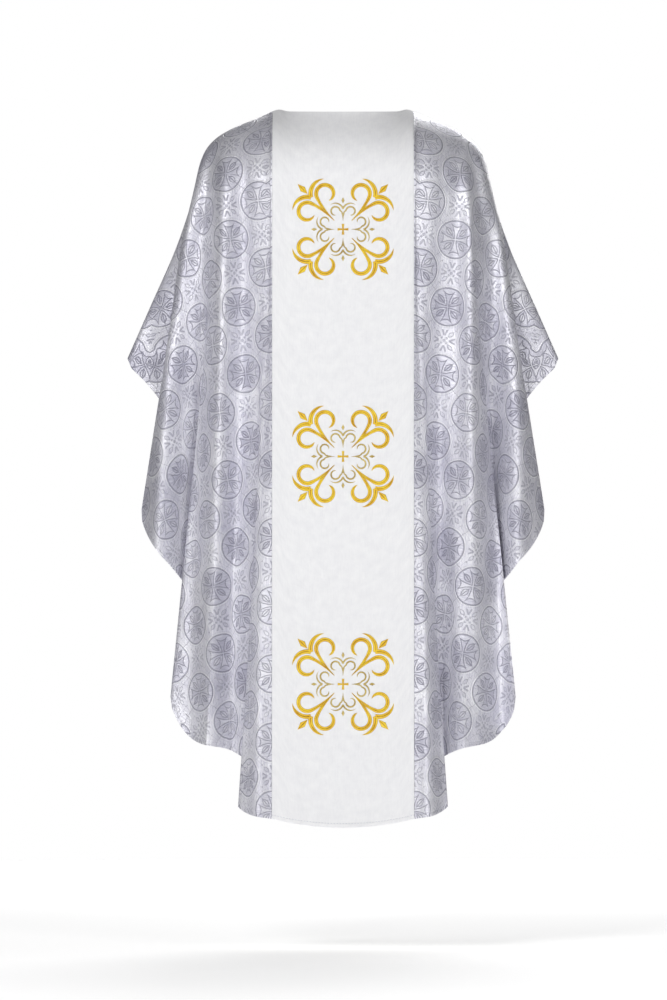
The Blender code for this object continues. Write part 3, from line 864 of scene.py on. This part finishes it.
        # outlines lie just inside each figure's edge, drawn 1.6 mm wide, about twice the real thread line
        figures = add("Math:MAXIMUM", cross, leaves)
        line = add("Math:SUBTRACT", 0.85, add("Math:ABSOLUTE", add("Math:SUBTRACT", figures, 0.5)))
        line = add("Math:MAXIMUM", line, add("Math:MINIMUM", vein, add("Math:SUBTRACT", leaves, 1.0)))
        line = add("MapRange:SMOOTHSTEP", add("Math:MAXIMUM", line, ring), -0.35, 0.55)
        petals = add("Math:MAXIMUM", small_leaves, fork)
        fine = add("Math:SUBTRACT", 0.75, add("Math:ABSOLUTE", add("Math:SUBTRACT", petals, 0.5)))
        dots = add("Math:MINIMUM", dots, add("Math:SUBTRACT", 2.0, beside))
        fine = add("Math:MAXIMUM", fine, add("Math:MAXIMUM", dot, dots))
        line = add("Math:MULTIPLY_ADD", add("MapRange:SMOOTHSTEP", fine, -0.35, 0.55), 0.75, line)
        petals = add("MapRange:SMOOTHSTEP", petals, -0.3, 0.6)
        fill = add("MapRange:SMOOTHSTEP", figures, -0.3, 0.6)
        fill = add("Math:MULTIPLY_ADD", petals, 0.8, fill)
        # ground: swirling twills, each lobe painted lighter or darker as painted sheen, standing for the
        # light it catches along its own slant
        swirl = add("TexNoise", cloth, None, 0.055, 2.0, 0.5, 2.0, 2.5)
        lobe_sheen = add("Math:MULTIPLY", swirl, add("Math:SUBTRACT", 1.0, disc))
        edge = add("Math:SUBTRACT", 0.8, add("Math:ABSOLUTE", add("Math:SUBTRACT", far, self.ring_mm + 5.0)))
        edge = add("MapRange:SMOOTHSTEP", edge, -0.3, 0.5)
        # silver threads, 0.45 mm apart in the cloth and drawn 1.4 mm apart so that they show
        stretch = add("VectorMath:MULTIPLY", cloth, (0.70, 0.05, 1.0))
        streak = add("TexNoise", stretch, None, 1.0, 3.0, 0.6)
        weft = add("VectorMath:MULTIPLY", cloth, (0.06, 0.55, 1.0))
        weft = add("TexNoise", weft, None, 1.0, 3.0, 0.6)
        streak = add("MixRGB", disc, streak, weft)
        twill = add("TexWave", cloth, 0.11, 0.6, 1.0, bands_direction="DIAGONAL", out=1)
        broad = add("TexNoise", cloth, None, 0.011, 2.0)
        tone = add("Math:MULTIPLY_ADD", add("Math:SUBTRACT", streak, 0.5), 1.5, 0.45)
        # painted sheen of the swirling lobes, added to the ground tone
        tone = add("Math:MULTIPLY_ADD", lobe_sheen, 0.28, tone)
        tone = add("Math:MULTIPLY_ADD", add("Math:SUBTRACT", broad, 0.5), 0.9, tone)
        # the tone runs from the figure colour through the ground to glint: the thread streaks are partly the
        # threads' own tone and partly painted glints
        base = add("ValToRGB", tone).node
        ramp = base.color_ramp
        ramp.elements[0].position = 0.05
        ramp.elements[0].color = linear(self.figure)
        ramp.elements[1].position = 0.95
        ramp.elements[1].color = linear(self.glint)
        ramp.elements.new(0.45).color = linear(self.ground)
        dull = add("MixRGB", add("Math:MULTIPLY", disc, 0.04), base.outputs[0], linear(self.figure))
        # painted sheen and painted shade: figures are painted light on some medallions and dark on others,
        # standing for the light they catch or lose
        turned = add("TexNoise", cloth, None, 0.009, 1.0)
        turned = add("MapRange:SMOOTHSTEP", turned, 0.44, 0.56)
        shown = add("MixRGB", turned, linear("#A9A8BA"), linear(self.glint))
        dull = add("MixRGB", add("Math:MULTIPLY", fill, 0.34), dull, shown)
        # painted highlight: the ring just outside each medallion's ring is lightened towards glint, standing
        # for the lit side of the raised outline
        dull = add("MixRGB", add("Math:MULTIPLY", highlight_ring, 0.55), dull, linear(self.glint))
        dull = add("MixRGB", add("Math:MULTIPLY", edge, 0.12), dull, linear(self.outline))
        colour = add("MixRGB", add("Math:MULTIPLY", line, 0.56), dull, linear(self.outline))
        tree.links.new(colour, shader.inputs["Base Color"])
        gloss = add("Math:MULTIPLY_ADD", tone, -0.16, 0.50)
        gloss = add("Math:MULTIPLY_ADD", line, 0.15, gloss)
        tree.links.new(gloss, shader.inputs["Roughness"])
        shader.inputs["Metallic"].default_value = 0.30
        shader.inputs["Sheen Weight"].default_value = 0.08
        shader.inputs["Sheen Roughness"].default_value = 0.4
        height = add("Math:MULTIPLY_ADD", line, -0.7, add("Math:MULTIPLY", fill, 0.45))
        height = add("Math:MULTIPLY_ADD", highlight_ring, 0.6, height)
        height = add("Math:MULTIPLY_ADD", twill, 0.12, height)
        height = add("Math:MULTIPLY_ADD", streak, 0.8, height)
        height = add("Math:MULTIPLY_ADD", disc, 0.3, height)
        bump = add("Bump", 0.9, 0.0011, None, height)
        tree.links.new(bump, shader.inputs["Normal"])
        return material


@dataclass(frozen=True)
class PlainWeave(Finish):
    """Plain-woven cloth: a matt face with faint slubs, and a fine weave."""

    name: str = "plain_woven_white_wool_blend"
    slot: str = "white_band_cloth"
    light: str = "#F2F2F3"
    shade: str = "#E4E4E7"
    roughness: float = 0.85
    sheen: float = 0.25
    thread_mm: float = 1.5
    slub: float = 0.6

    def make(self) -> bpy.types.Material:
        """Build the material. The weave is drawn coarser than its real 0.4 mm, so that it shows.

        Returns:
            The material.
        """
        material, tree, shader = self.start()
        add = partial(add_node, tree)
        metres = add("UVMap", uv_map="flat")
        cloth = add("VectorMath:MULTIPLY", metres, TO_MM)
        weaves = [add("TexWave", cloth, 0.31 / self.thread_mm, 1.2, 2.0, 0.6,
                           bands_direction=axis, out=1) for axis in ("X", "Y")]
        weave = add("Math:MULTIPLY", *weaves)
        stretch = add("VectorMath:MULTIPLY", cloth, (0.5, 0.06, 1.0))
        slubs = add("TexNoise", stretch, None, 0.8, 3.0, 0.6)
        cloud = add("TexNoise", cloth, None, 0.06, 4.0, 0.65)
        tone = add("Math:MULTIPLY_ADD", slubs, self.slub, cloud)
        tone = add("Math:MULTIPLY_ADD", weave, 0.12, tone)
        tone = add("MapRange", tone, 0.45, 1.15)
        colour = add("MixRGB", tone, linear(self.shade), linear(self.light))
        tree.links.new(colour, shader.inputs["Base Color"])
        shader.inputs["Roughness"].default_value = self.roughness
        shader.inputs["Sheen Weight"].default_value = self.sheen
        height = add("Math:MULTIPLY_ADD", slubs, 0.5, weave)
        height = add("Math:MULTIPLY_ADD", cloud, 1.2, height)
        bump = add("Bump", 0.35, 0.0004, None, height)
        tree.links.new(bump, shader.inputs["Normal"])
        return material


@dataclass(frozen=True)
class SatinStitch(Finish):
    """Gold rayon and metal thread laid side by side: bright humps, dark grooves and edges that are painted
    shade, fine cross lines.
    """

    name: str = "satin_stitched_gold_thread"
    slot: str = "gold_thread"
    bright: str = "#FFE23C"
    middle: str = "#ECB41A"
    # the darkest colour of the ramp, shown mostly in the painted shade along the middle dip
    deep_shade: str = "#8A5206"
    # edge colour and its share of the width: painted shade along both edges of each ribbon, where the padded
    # ribbon turns away from the light
    edge: str = "#6B4207"
    edge_shade_share: float = 0.26

    def make(self) -> bpy.types.Material:
        """Build the material. Threads are drawn 1.2 mm apart, about three times the real spacing.

        Returns:
            The material.
        """
        material, tree, shader = self.start()
        add = partial(add_node, tree)
        metres = add("UVMap", uv_map="flat")
        split = add("SeparateXYZ", metres).node
        across, along = split.outputs[0], split.outputs[1]
        side = add("Math:ABSOLUTE", across)
        slant = add("Math:MULTIPLY_ADD", side, 1.3, add("Math:MULTIPLY", along, 1000.0))
        thread = add("Math:SINE", add("Math:MULTIPLY", slant, math.tau / 1.2))
        place = add("CombineXYZ", add("Math:MULTIPLY", across, 0.6), add("Math:MULTIPLY", along, 1400.0))
        grain = add("TexNoise", place, None, 1.0, 2.0)
        where = add("TexCoord", out=3)
        patch = add("TexNoise", where, None, 55.0, 2.0)
        # painted shade darkens the middle dip where the two satin columns meet, towards the darkest colour
        # of the ramp
        painted_groove_shade = add("MapRange:SMOOTHSTEP", side, 0.02, 0.26, 1.0, 0.0)
        # painted shade along both edges of each ribbon
        painted_edge_shade = add("MapRange:SMOOTHSTEP", side, 1.0 - self.edge_shade_share, 1.0)
        tone = add("Math:MULTIPLY_ADD", thread, 0.10, add("Math:MULTIPLY_ADD", grain, 0.75, 0.12))
        tone = add("Math:MULTIPLY_ADD", add("Math:SUBTRACT", patch, 0.5), 0.7, tone)
        tone = add("Math:SUBTRACT", tone, add("Math:MULTIPLY", painted_groove_shade, 0.42))
        ramp = add("ValToRGB", tone).node
        ramp.color_ramp.elements[0].position = 0.05
        ramp.color_ramp.elements[0].color = linear(self.deep_shade)
        ramp.color_ramp.elements[1].position = 0.62
        ramp.color_ramp.elements[1].color = linear(self.bright)
        ramp.color_ramp.elements.new(0.32).color = linear(self.middle)
        colour = add("MixRGB", add("Math:MULTIPLY", painted_edge_shade, 0.88), ramp.outputs[0], linear(self.edge))
        tree.links.new(colour, shader.inputs["Base Color"])
        tree.links.new(add("Math:MULTIPLY_ADD", thread, 0.06, 0.36), shader.inputs["Roughness"])
        shader.inputs["Metallic"].default_value = 0.15
        shader.inputs["Sheen Weight"].default_value = 0.1
        bump = add("Bump", 0.5, 0.0003, None, thread)
        tree.links.new(bump, shader.inputs["Normal"])
        return material


BROCADE = SilverBrocade()
BAND_CLOTH = PlainWeave()
LINING = PlainWeave(name="woven_satin_acetate_lining", slot="satin_lining", light="#E6E4DF", shade="#D8D6D0",
                    roughness=0.42, sheen=0.1, thread_mm=1.2, slub=0.9)
STIFFENING = PlainWeave(name="woven_canvas_interlining", slot="interlining", light="#E2DFD6",
                        shade="#CFCBC0", roughness=0.95, sheen=0.0, thread_mm=2.2, slub=0.4)
TAPE = PlainWeave(name="woven_cotton_tape", slot="binding_tape", light="#EDEDEE", shade="#DADADD",
                  roughness=0.85, sheen=0.1, thread_mm=1.6, slub=0.3)
THREAD = PlainWeave(name="twisted_polyester_sewing_thread", slot="silver_brocade", light="#E9E9F2",
                    shade="#BFBFCD", roughness=0.5, sheen=0.1, thread_mm=0.8, slub=0.3)
GOLD = SatinStitch()
# pale gold has its own darker colours for the painted shade along the middle dip and along its edges, where
# painted shade covers the outer half of each side
PALE_GOLD = SatinStitch(name="satin_stitched_pale_gold_thread", bright="#EFD983", middle="#CDAE55",
                        deep_shade="#6A4E14", edge="#3E2F0C", edge_shade_share=0.50)


# -------------------------------------------------------------------------------------------------- garment


@dataclass
class Shell:
    """The cloth pieces of one side: panels, band, interlining, lining and neck binding."""

    drape: Drape
    cloth: float = 0.0010
    stiffening: float = 0.0006
    lining: float = 0.0005
    binding: float = 0.0006
    gap: float = 0.0004

    def cuts(self) -> list[tuple[str, str, Cut, Finish]]:
        """List the pieces of this side.

        Returns:
            Each piece's name, the node it stands for, its cut and its finish.
        """
        d, half = self.drape, self.drape.seam_gap / 2
        last, low, high = 2 * d.middle, d.middle - d.band_edge, d.middle + d.band_edge
        rows = (0, d.hem_row)
        under = self.cloth + self.gap
        lining = under + self.stiffening + self.gap
        binding = lining + self.lining + self.gap
        shell = dict(depth=0.0, thickness=self.cloth, turned_hem=0.0008, stitch_dip=0.0005)
        return [
            ("band_cloth", "band", Cut(rows, (low, high), trim=(half, half), **shell), BAND_CLOTH),
            ("left_panel_cloth", "left_panel", Cut(rows, (0, low), trim=(0.0, half), **shell), BROCADE),
            ("right_panel_cloth", "right_panel",
             Cut(rows, (high, last), trim=(half, 0.0), **shell), BROCADE),
            ("band_stiffening", "band_interlining",
             Cut((d.strip_row, d.turn_row), (low, high), under, self.stiffening, trim=(half, half)),
             STIFFENING),
            ("lining_cloth", "lining",
             Cut((0, d.turn_row), (0, last), lining, self.lining,
                 side_depth=self.cloth + self.gap / 2), LINING),
            ("neck_tape", "neck_binding",
             Cut((0, d.strip_row), (low, high), binding, self.binding, trim=(half, half)), TAPE),
        ]

    def build(self) -> None:
        """Cut, dress and attach every piece of this side, and hide the imported parts it replaces."""
        side = self.drape.side.value
        for name, node, cut, finish in self.cuts():
            piece, flat = cut_cloth(f"{side}_{name}", self.drape, cut)
            finish.dress(piece)
            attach(piece, ROOT)
            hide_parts(f"{side}_{node}")


@dataclass
class ShoulderTape:
    """A stay tape under one shoulder seam, between the shell and the lining."""

    back: Drape
    front: Drape
    right: bool
    depth: float = 0.0014
    thickness: float = 0.0006
    folds: int = 5

    def build(self) -> None:
        """Lay the tape over the seam, across both sides."""
        d = self.back
        first = d.middle + d.band_edge
        last = first + 1 + self.folds * d.fold_steps
        mirrored = slice(2 * d.middle - last + 1, 2 * d.middle - first)
        columns = slice(first + 1, last) if self.right else mirrored
        strip = d.strip_row
        skins = []
        for depth in (self.depth, self.depth + self.thickness):
            behind, ahead = [(side.points + side.inward * depth)[: strip + 1, columns]
                             for side in (self.back, self.front)]
            ridge = (behind[:1] + ahead[:1]) / 2
            skins.append(np.concatenate((behind[:0:-1], ridge, ahead[1:])))
        across = lengths_along(skins[0][:, 0])
        along = lengths_along(skins[0][strip])
        flat = np.stack(np.broadcast_arrays(across[:, None], along[None]), axis=2)
        hand = "right" if self.right else "left"
        piece = sheet_mesh(f"{hand}_shoulder_stay_tape", skins[0], skins[1], flat)
        TAPE.dress(piece)
        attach(piece, ROOT)
        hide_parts(f"{hand}_shoulder_tape")


@dataclass
class HemStitches:
    """Machine stitches round one side's hem, lying in the dip they pull into the cloth."""

    drape: Drape
    pitch: float = 0.0052
    length: float = 0.0038
    radius: float = 0.00045
    sunk: float = 0.0002
    margin: float = 0.02

    def build(self) -> None:
        """Lay one short rounded thread per stitch."""
        d = self.drape
        path = d.points[d.stitch_row] + d.inward[d.stitch_row] * self.sunk
        along = lengths_along(path)
        work = bmesh.new()
        for start in np.arange(self.margin, along[-1] - self.margin, self.pitch):
            ends = [Vector([np.interp(at, along, path[:, k]) for k in range(3)])
                    for at in (start, start + self.length)]
            middle, run = (ends[0] + ends[1]) / 2, ends[1] - ends[0]
            turn = run.to_track_quat("Z", "Y").to_matrix().to_4x4()
            bmesh.ops.create_icosphere(
                work, subdivisions=1, radius=1.0,
                matrix=Matrix.Translation(middle) @ turn @ Matrix.Diagonal(
                    (self.radius, self.radius, self.length / 2, 1.0)))
        mesh = bpy.data.meshes.new(f"{d.side.value}_hem_stitches")
        work.to_mesh(mesh)
        work.free()
        mesh.uv_layers.new(name="flat")
        piece = finish_mesh(mesh.name, mesh, 90.0)
        THREAD.dress(piece)
        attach(piece, ROOT)
        log.info("%s: %d faces", piece.name, len(mesh.polygons))


@dataclass(frozen=True)
class Scroll:
    """A stem with two curls, a bracket round them and a diamond.

    Sizes are in metres from the motif's middle upwards.
    """

    curl_out: float
    curl_up: float
    split_up: float
    ring_radius: float
    end_radius: float
    end_angle: float
    half_width: float
    stem_up: float
    stem_half_width: float
    bracket_radius: float
    bracket_half_width: float
    diamond_from: float
    diamond_to: float
    diamond_half_width: float
    height: float
    bracket_end: float = 49.0

    def curl(self) -> Ribbon:
        """Lay out one curl from the stem's tip round to its own.

        Returns:
            Its centre line and half widths.
        """
        rise = np.array([0.0, 0.32, 0.62, 0.86, 1.02])
        out = self.stem_half_width * np.array([0.07, 0.17, 0.38, 0.62, 0.98])
        stem = np.stack((out, lerp(self.stem_up, self.split_up, rise)), axis=1)
        angle = np.radians(np.linspace(170.0, self.end_angle, 12))
        radius = np.linspace(self.ring_radius, self.end_radius, 12)
        ring = np.stack((self.curl_out + radius * np.cos(angle),
                         self.curl_up + radius * np.sin(angle)), axis=1)
        knots = np.concatenate((stem, ring))
        stations = np.linspace(0.0, len(knots) - 1, 70)
        line = spread(knots[:, None], stations)[:, 0]
        swell = self.half_width * np.array([0.90, 0.98, 1.0, 1.0, 1.0, 1.0, 1.0, 0.97, 0.90, 0.78, 0.58,
                                            0.12])
        widths = np.concatenate((out * 0.98, swell))
        widths[4] = 0.74 * self.half_width
        return line, np.interp(stations, np.arange(len(knots)), widths)

    def bracket(self) -> Ribbon:
        """Lay out one arm of the bracket, from the stem's line to its tip.

        Returns:
            Its centre line and half widths.
        """
        start = math.acos(-self.curl_out / self.bracket_radius)
        angle = np.linspace(start, math.radians(self.bracket_end), 20)
        share = np.linspace(0.0, 1.0, 20)
        line = np.stack((self.curl_out + self.bracket_radius * np.cos(angle),
                         self.curl_up + self.bracket_radius * np.sin(angle)), axis=1)
        return line, self.bracket_half_width * (1 - share ** 2.6)

    def diamond(self) -> Ribbon:
        """Lay out the diamond.

        Returns:
            Its centre line and half widths.
        """
        share = np.linspace(0.0, 1.0, 9)
        line = np.stack((np.zeros(9), lerp(self.diamond_from, self.diamond_to, share)), axis=1)
        return line, self.diamond_half_width * (1 - np.abs(2 * share - 1))

    def ribbons(self) -> list[Ribbon]:
        """List every ribbon of satin stitch, both halves.

        Returns:
            Each ribbon's centre line and half widths.
        """
        mirror = np.array([-1.0, 1.0])
        pairs = [self.curl(), self.bracket()]
        return pairs + [(line * mirror, width) for line, width in pairs] + [self.diamond()]


CORNER = Scroll(0.0223, 0.0661, 0.0619, 0.0163, 0.0140, -108, 0.0036, 0.0216, 0.0045, 0.0258, 0.0041, 0.0868,
                0.1124, 0.0055, 0.0016)
AXIS = Scroll(0.0135, 0.0315, 0.0300, 0.0085, 0.0067, -100, 0.0015, 0.0148, 0.0022, 0.0142, 0.0015, 0.0450,
              0.0563, 0.0028, 0.0010)


@dataclass
class Motif:
    """One embroidered motif: four corner scrolls, and a cross with four small scrolls round it."""

    drape: Drape
    number: int
    cross_arm: float = 0.0094
    cross_waist: float = 0.0014
    cross_end: float = 0.0024
    profile: tuple[float, ...] = (0.0, 0.62, 0.95, 1.0, 0.70, 1.0, 0.95, 0.62, 0.0)
    sunk: float = 0.0001
    full_height_width: float = 0.0016
    cross_height: float = 0.0012
    merge_distance: float = 2e-6
    middle: float = field(init=False)

    def ribbon(self, work: bmesh.types.BMesh, line: np.ndarray, width: np.ndarray, turn: float,
               height: float) -> None:
        """Lay one padded ribbon of stitches on the band.

        Args:
            work: The mesh it is added to.
            line: Centre line, in metres from the motif's middle.
            width: Half width at each point.
            turn: Angle of the ribbon about the motif's middle, in degrees.
            height: How far the padding stands up.
        """
        across = len(self.profile)
        made = bmesh.ops.create_grid(work, x_segments=across, y_segments=len(line) - 1, size=1.0)["verts"]
        flat = work.loops.layers.uv.verify()
        ahead = np.gradient(line, axis=0)
        ahead /= np.maximum(np.linalg.norm(ahead, axis=1), TINY)[:, None]
        sideways = np.stack((-ahead[:, 1], ahead[:, 0]), axis=1)
        run = lengths_along(line)
        cos, sin = math.cos(math.radians(turn)), math.sin(math.radians(turn))
        spots = {}
        for vert in made:
            row = round((vert.co.y + 1) / 2 * (len(line) - 1))
            column = round((vert.co.x + 1) / 2 * across)
            share = 2 * (column % across) / (across - 1) - 1 if column < across else -1.0
            x, y = line[row] + sideways[row] * width[row] * share
            fullness = min(1.0, (width[row] / self.full_height_width) ** 0.5)
            rise = height * fullness * self.profile[column % across]
            x, y = x * cos - y * sin, x * sin + y * cos
            if self.drape.side is Side.FRONT:
                x = -x
            spots[vert] = (share, run[row])
            vert.co = self.drape.band_height(x, self.middle + y, rise - self.sunk)
        for face in {face for vert in made for face in vert.link_faces}:
            for loop in face.loops:
                loop[flat].uv = spots[loop.vert]

    def piece(self, name: str, node: str, ribbons: list[tuple[np.ndarray, np.ndarray, float, float, int]],
              finishes: list[Finish]) -> None:
        """Make one island of stitches.

        Args:
            name: Piece name.
            node: The node it stands for.
            ribbons: Line, half widths, angle, height and finish number of each ribbon.
            finishes: The finishes they count in.
        """
        work = bmesh.new()
        counts = []
        for line, width, turn, height, finish in ribbons:
            before = len(work.faces)
            self.ribbon(work, line, width, turn, height)
            counts.append((before, finish))
        work.faces.ensure_lookup_table()
        for before, finish in counts:
            for face in work.faces[before:]:
                face.material_index = finish
        bmesh.ops.remove_doubles(work, verts=work.verts, dist=self.merge_distance)
        bmesh.ops.recalc_face_normals(work, faces=work.faces)
        mesh = bpy.data.meshes.new(name)
        work.to_mesh(mesh)
        work.free()
        mesh.uv_layers[0].name = "flat"
        made = finish_mesh(name, mesh, 75.0)
        numbers = np.empty(len(mesh.polygons), dtype=np.int32)
        mesh.polygons.foreach_get("material_index", numbers)
        finishes[0].dress(made)
        for finish in finishes[1:]:
            mesh.materials.append(bpy.data.materials.get(finish.name) or finish.make())
        mesh.polygons.foreach_set("material_index", numbers)
        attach(made, ROOT)
        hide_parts(node)

    def build(self) -> None:
        """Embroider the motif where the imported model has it."""
        side = self.drape.side.value
        low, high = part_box(f"{side}_cross_{self.number}")
        self.middle = (low[2] + high[2]) / 2
        corners = ("upper_right", "upper_left", "lower_left", "lower_right")
        for quarter, corner in enumerate(corners):
            ribbons = [(line, width, 90 * quarter - 45, CORNER.height, 0)
                       for line, width in CORNER.ribbons()]
            self.piece(f"{side}_gold_scroll_{self.number}_{corner}", f"{side}_scroll_{self.number}_{corner}",
                       ribbons, [GOLD])
        arm = np.stack((np.zeros(7), np.linspace(-0.2 * self.cross_waist, self.cross_arm, 7)), axis=1)
        flare = lerp(self.cross_waist, self.cross_end, np.linspace(0, 1, 7) ** 1.5)
        ribbons = []
        for quarter in range(4):
            ribbons.append((arm, flare, 90 * quarter, self.cross_height, 0))
            ribbons += [(line, width, 90 * quarter, AXIS.height, 1) for line, width in AXIS.ribbons()]
        self.piece(f"{side}_gold_cross_{self.number}", f"{side}_cross_{self.number}", ribbons,
                   [GOLD, PALE_GOLD])
        log.info("%s motif %d embroidered", side, self.number)


# --------------------------------------------------------------------------------------------------- studio


@dataclass
class Studio:
    """A pale round floor, soft lights, and the camera level with the cloth."""

    view_height: float = 1.75
    distance: float = 16.0
    plane_y: float = -0.13
    look_x: float = -0.0166
    look_z: float = -0.686
    sensor: float = 36.0
    floor_below: float = 0.22
    floor_radius: float = 4.0
    floor_glow: float = 0.38
    air: float = 0.09

    def area_light(self, name: str, place: tuple[float, float, float], size: float, power: float) -> None:
        """Hang one square soft light that faces the vestment.

        Args:
            name: Light name.
            place: Where it hangs.
            size: Side length in metres.
            power: Power in watts.
        """
        lamp = bpy.data.lights.new(name, "AREA")
        lamp.shape, lamp.size, lamp.energy = "SQUARE", size, power
        light = bpy.data.objects.new(name, lamp)
        bpy.context.scene.collection.objects.link(light)
        light.location = place
        aim = Vector((0.0, 0.0, -0.6)) - Vector(place)
        light.rotation_euler = aim.to_track_quat("-Z", "Y").to_euler()

    def build(self) -> None:
        """Set the floor, the lights, the world and the camera."""
        self.lay_floor()
        self.fill_air()
        self.area_light("key_light", (-1.5, -4.4, 1.6), 1.2, 120.0)
        self.area_light("fill_light", (1.7, -4.4, 0.8), 1.4, 58.0)
        self.area_light("rear_light", (0.6, 4.0, 1.2), 2.2, 120.0)
        bpy.context.scene.view_settings.view_transform = "Standard"
        self.set_camera()

    def lay_floor(self) -> None:
        """Lay a matt painted floor with a faint glow of its own, which keeps it pale at a low angle."""
        work = bmesh.new()
        bmesh.ops.create_circle(work, cap_ends=True, segments=128, radius=self.floor_radius)
        bmesh.ops.translate(work, verts=work.verts, vec=(0.0, 0.0, CAD_BOX[0][2] - self.floor_below))
        mesh = bpy.data.meshes.new("studio_floor")
        work.to_mesh(mesh)
        work.free()
        floor = bpy.data.objects.new("studio_floor", mesh)
        bpy.context.scene.collection.objects.link(floor)
        material = bpy.data.materials.new("pale_studio_floor")
        material.use_nodes = True
        shader = material.node_tree.nodes["Principled BSDF"]
        shader.inputs["Base Color"].default_value = linear("#F0F0F0")
        shader.inputs["Roughness"].default_value = 0.9
        shader.inputs["Emission Color"].default_value = WHITE
        shader.inputs["Emission Strength"].default_value = self.floor_glow
        mesh.materials.append(material)

    def fill_air(self) -> None:
        """Make the air white to look at and dim as a light."""
        world = bpy.data.worlds.new("studio_air")
        world.use_nodes = True
        tree = world.node_tree
        bright = tree.nodes["Background"]
        bright.inputs[0].default_value = WHITE
        bright.inputs[1].default_value = 1.0
        path = add_node(tree, "LightPath")
        dim = add_node(tree, "Background", WHITE, self.air)
        mixed = add_node(tree, "MixShader", path, dim, bright.outputs[0])
        tree.links.new(mixed, tree.nodes["World Output"].inputs[0])
        bpy.context.scene.world = world

    def set_camera(self) -> None:
        """Set the camera level with the cloth, square to the band."""
        lens = bpy.data.cameras.new("camera")
        lens.sensor_fit, lens.sensor_height, lens.sensor_width = "VERTICAL", self.sensor, self.sensor
        lens.lens = self.sensor * self.distance / self.view_height
        camera = bpy.data.objects.new("camera", lens)
        bpy.context.scene.collection.objects.link(camera)
        camera.location = (self.look_x, self.plane_y - self.distance, self.look_z)
        camera.rotation_euler = (math.pi / 2, 0.0, 0.0)
        bpy.context.scene.camera = camera


def main() -> None:
    """Build the vestment and its studio."""
    logging.basicConfig(level=logging.INFO, format="%(name)s: %(message)s")
    drapes = [Drape(Side.BACK), Drape(Side.FRONT)]
    for drape in drapes:
        Shell(drape).build()
        HemStitches(drape).build()
        for number in (1, 2, 3):
            Motif(drape, number).build()
    for right in (False, True):
        ShoulderTape(*drapes, right).build()
    Studio().build()


if __name__ == "__main__":
    main()
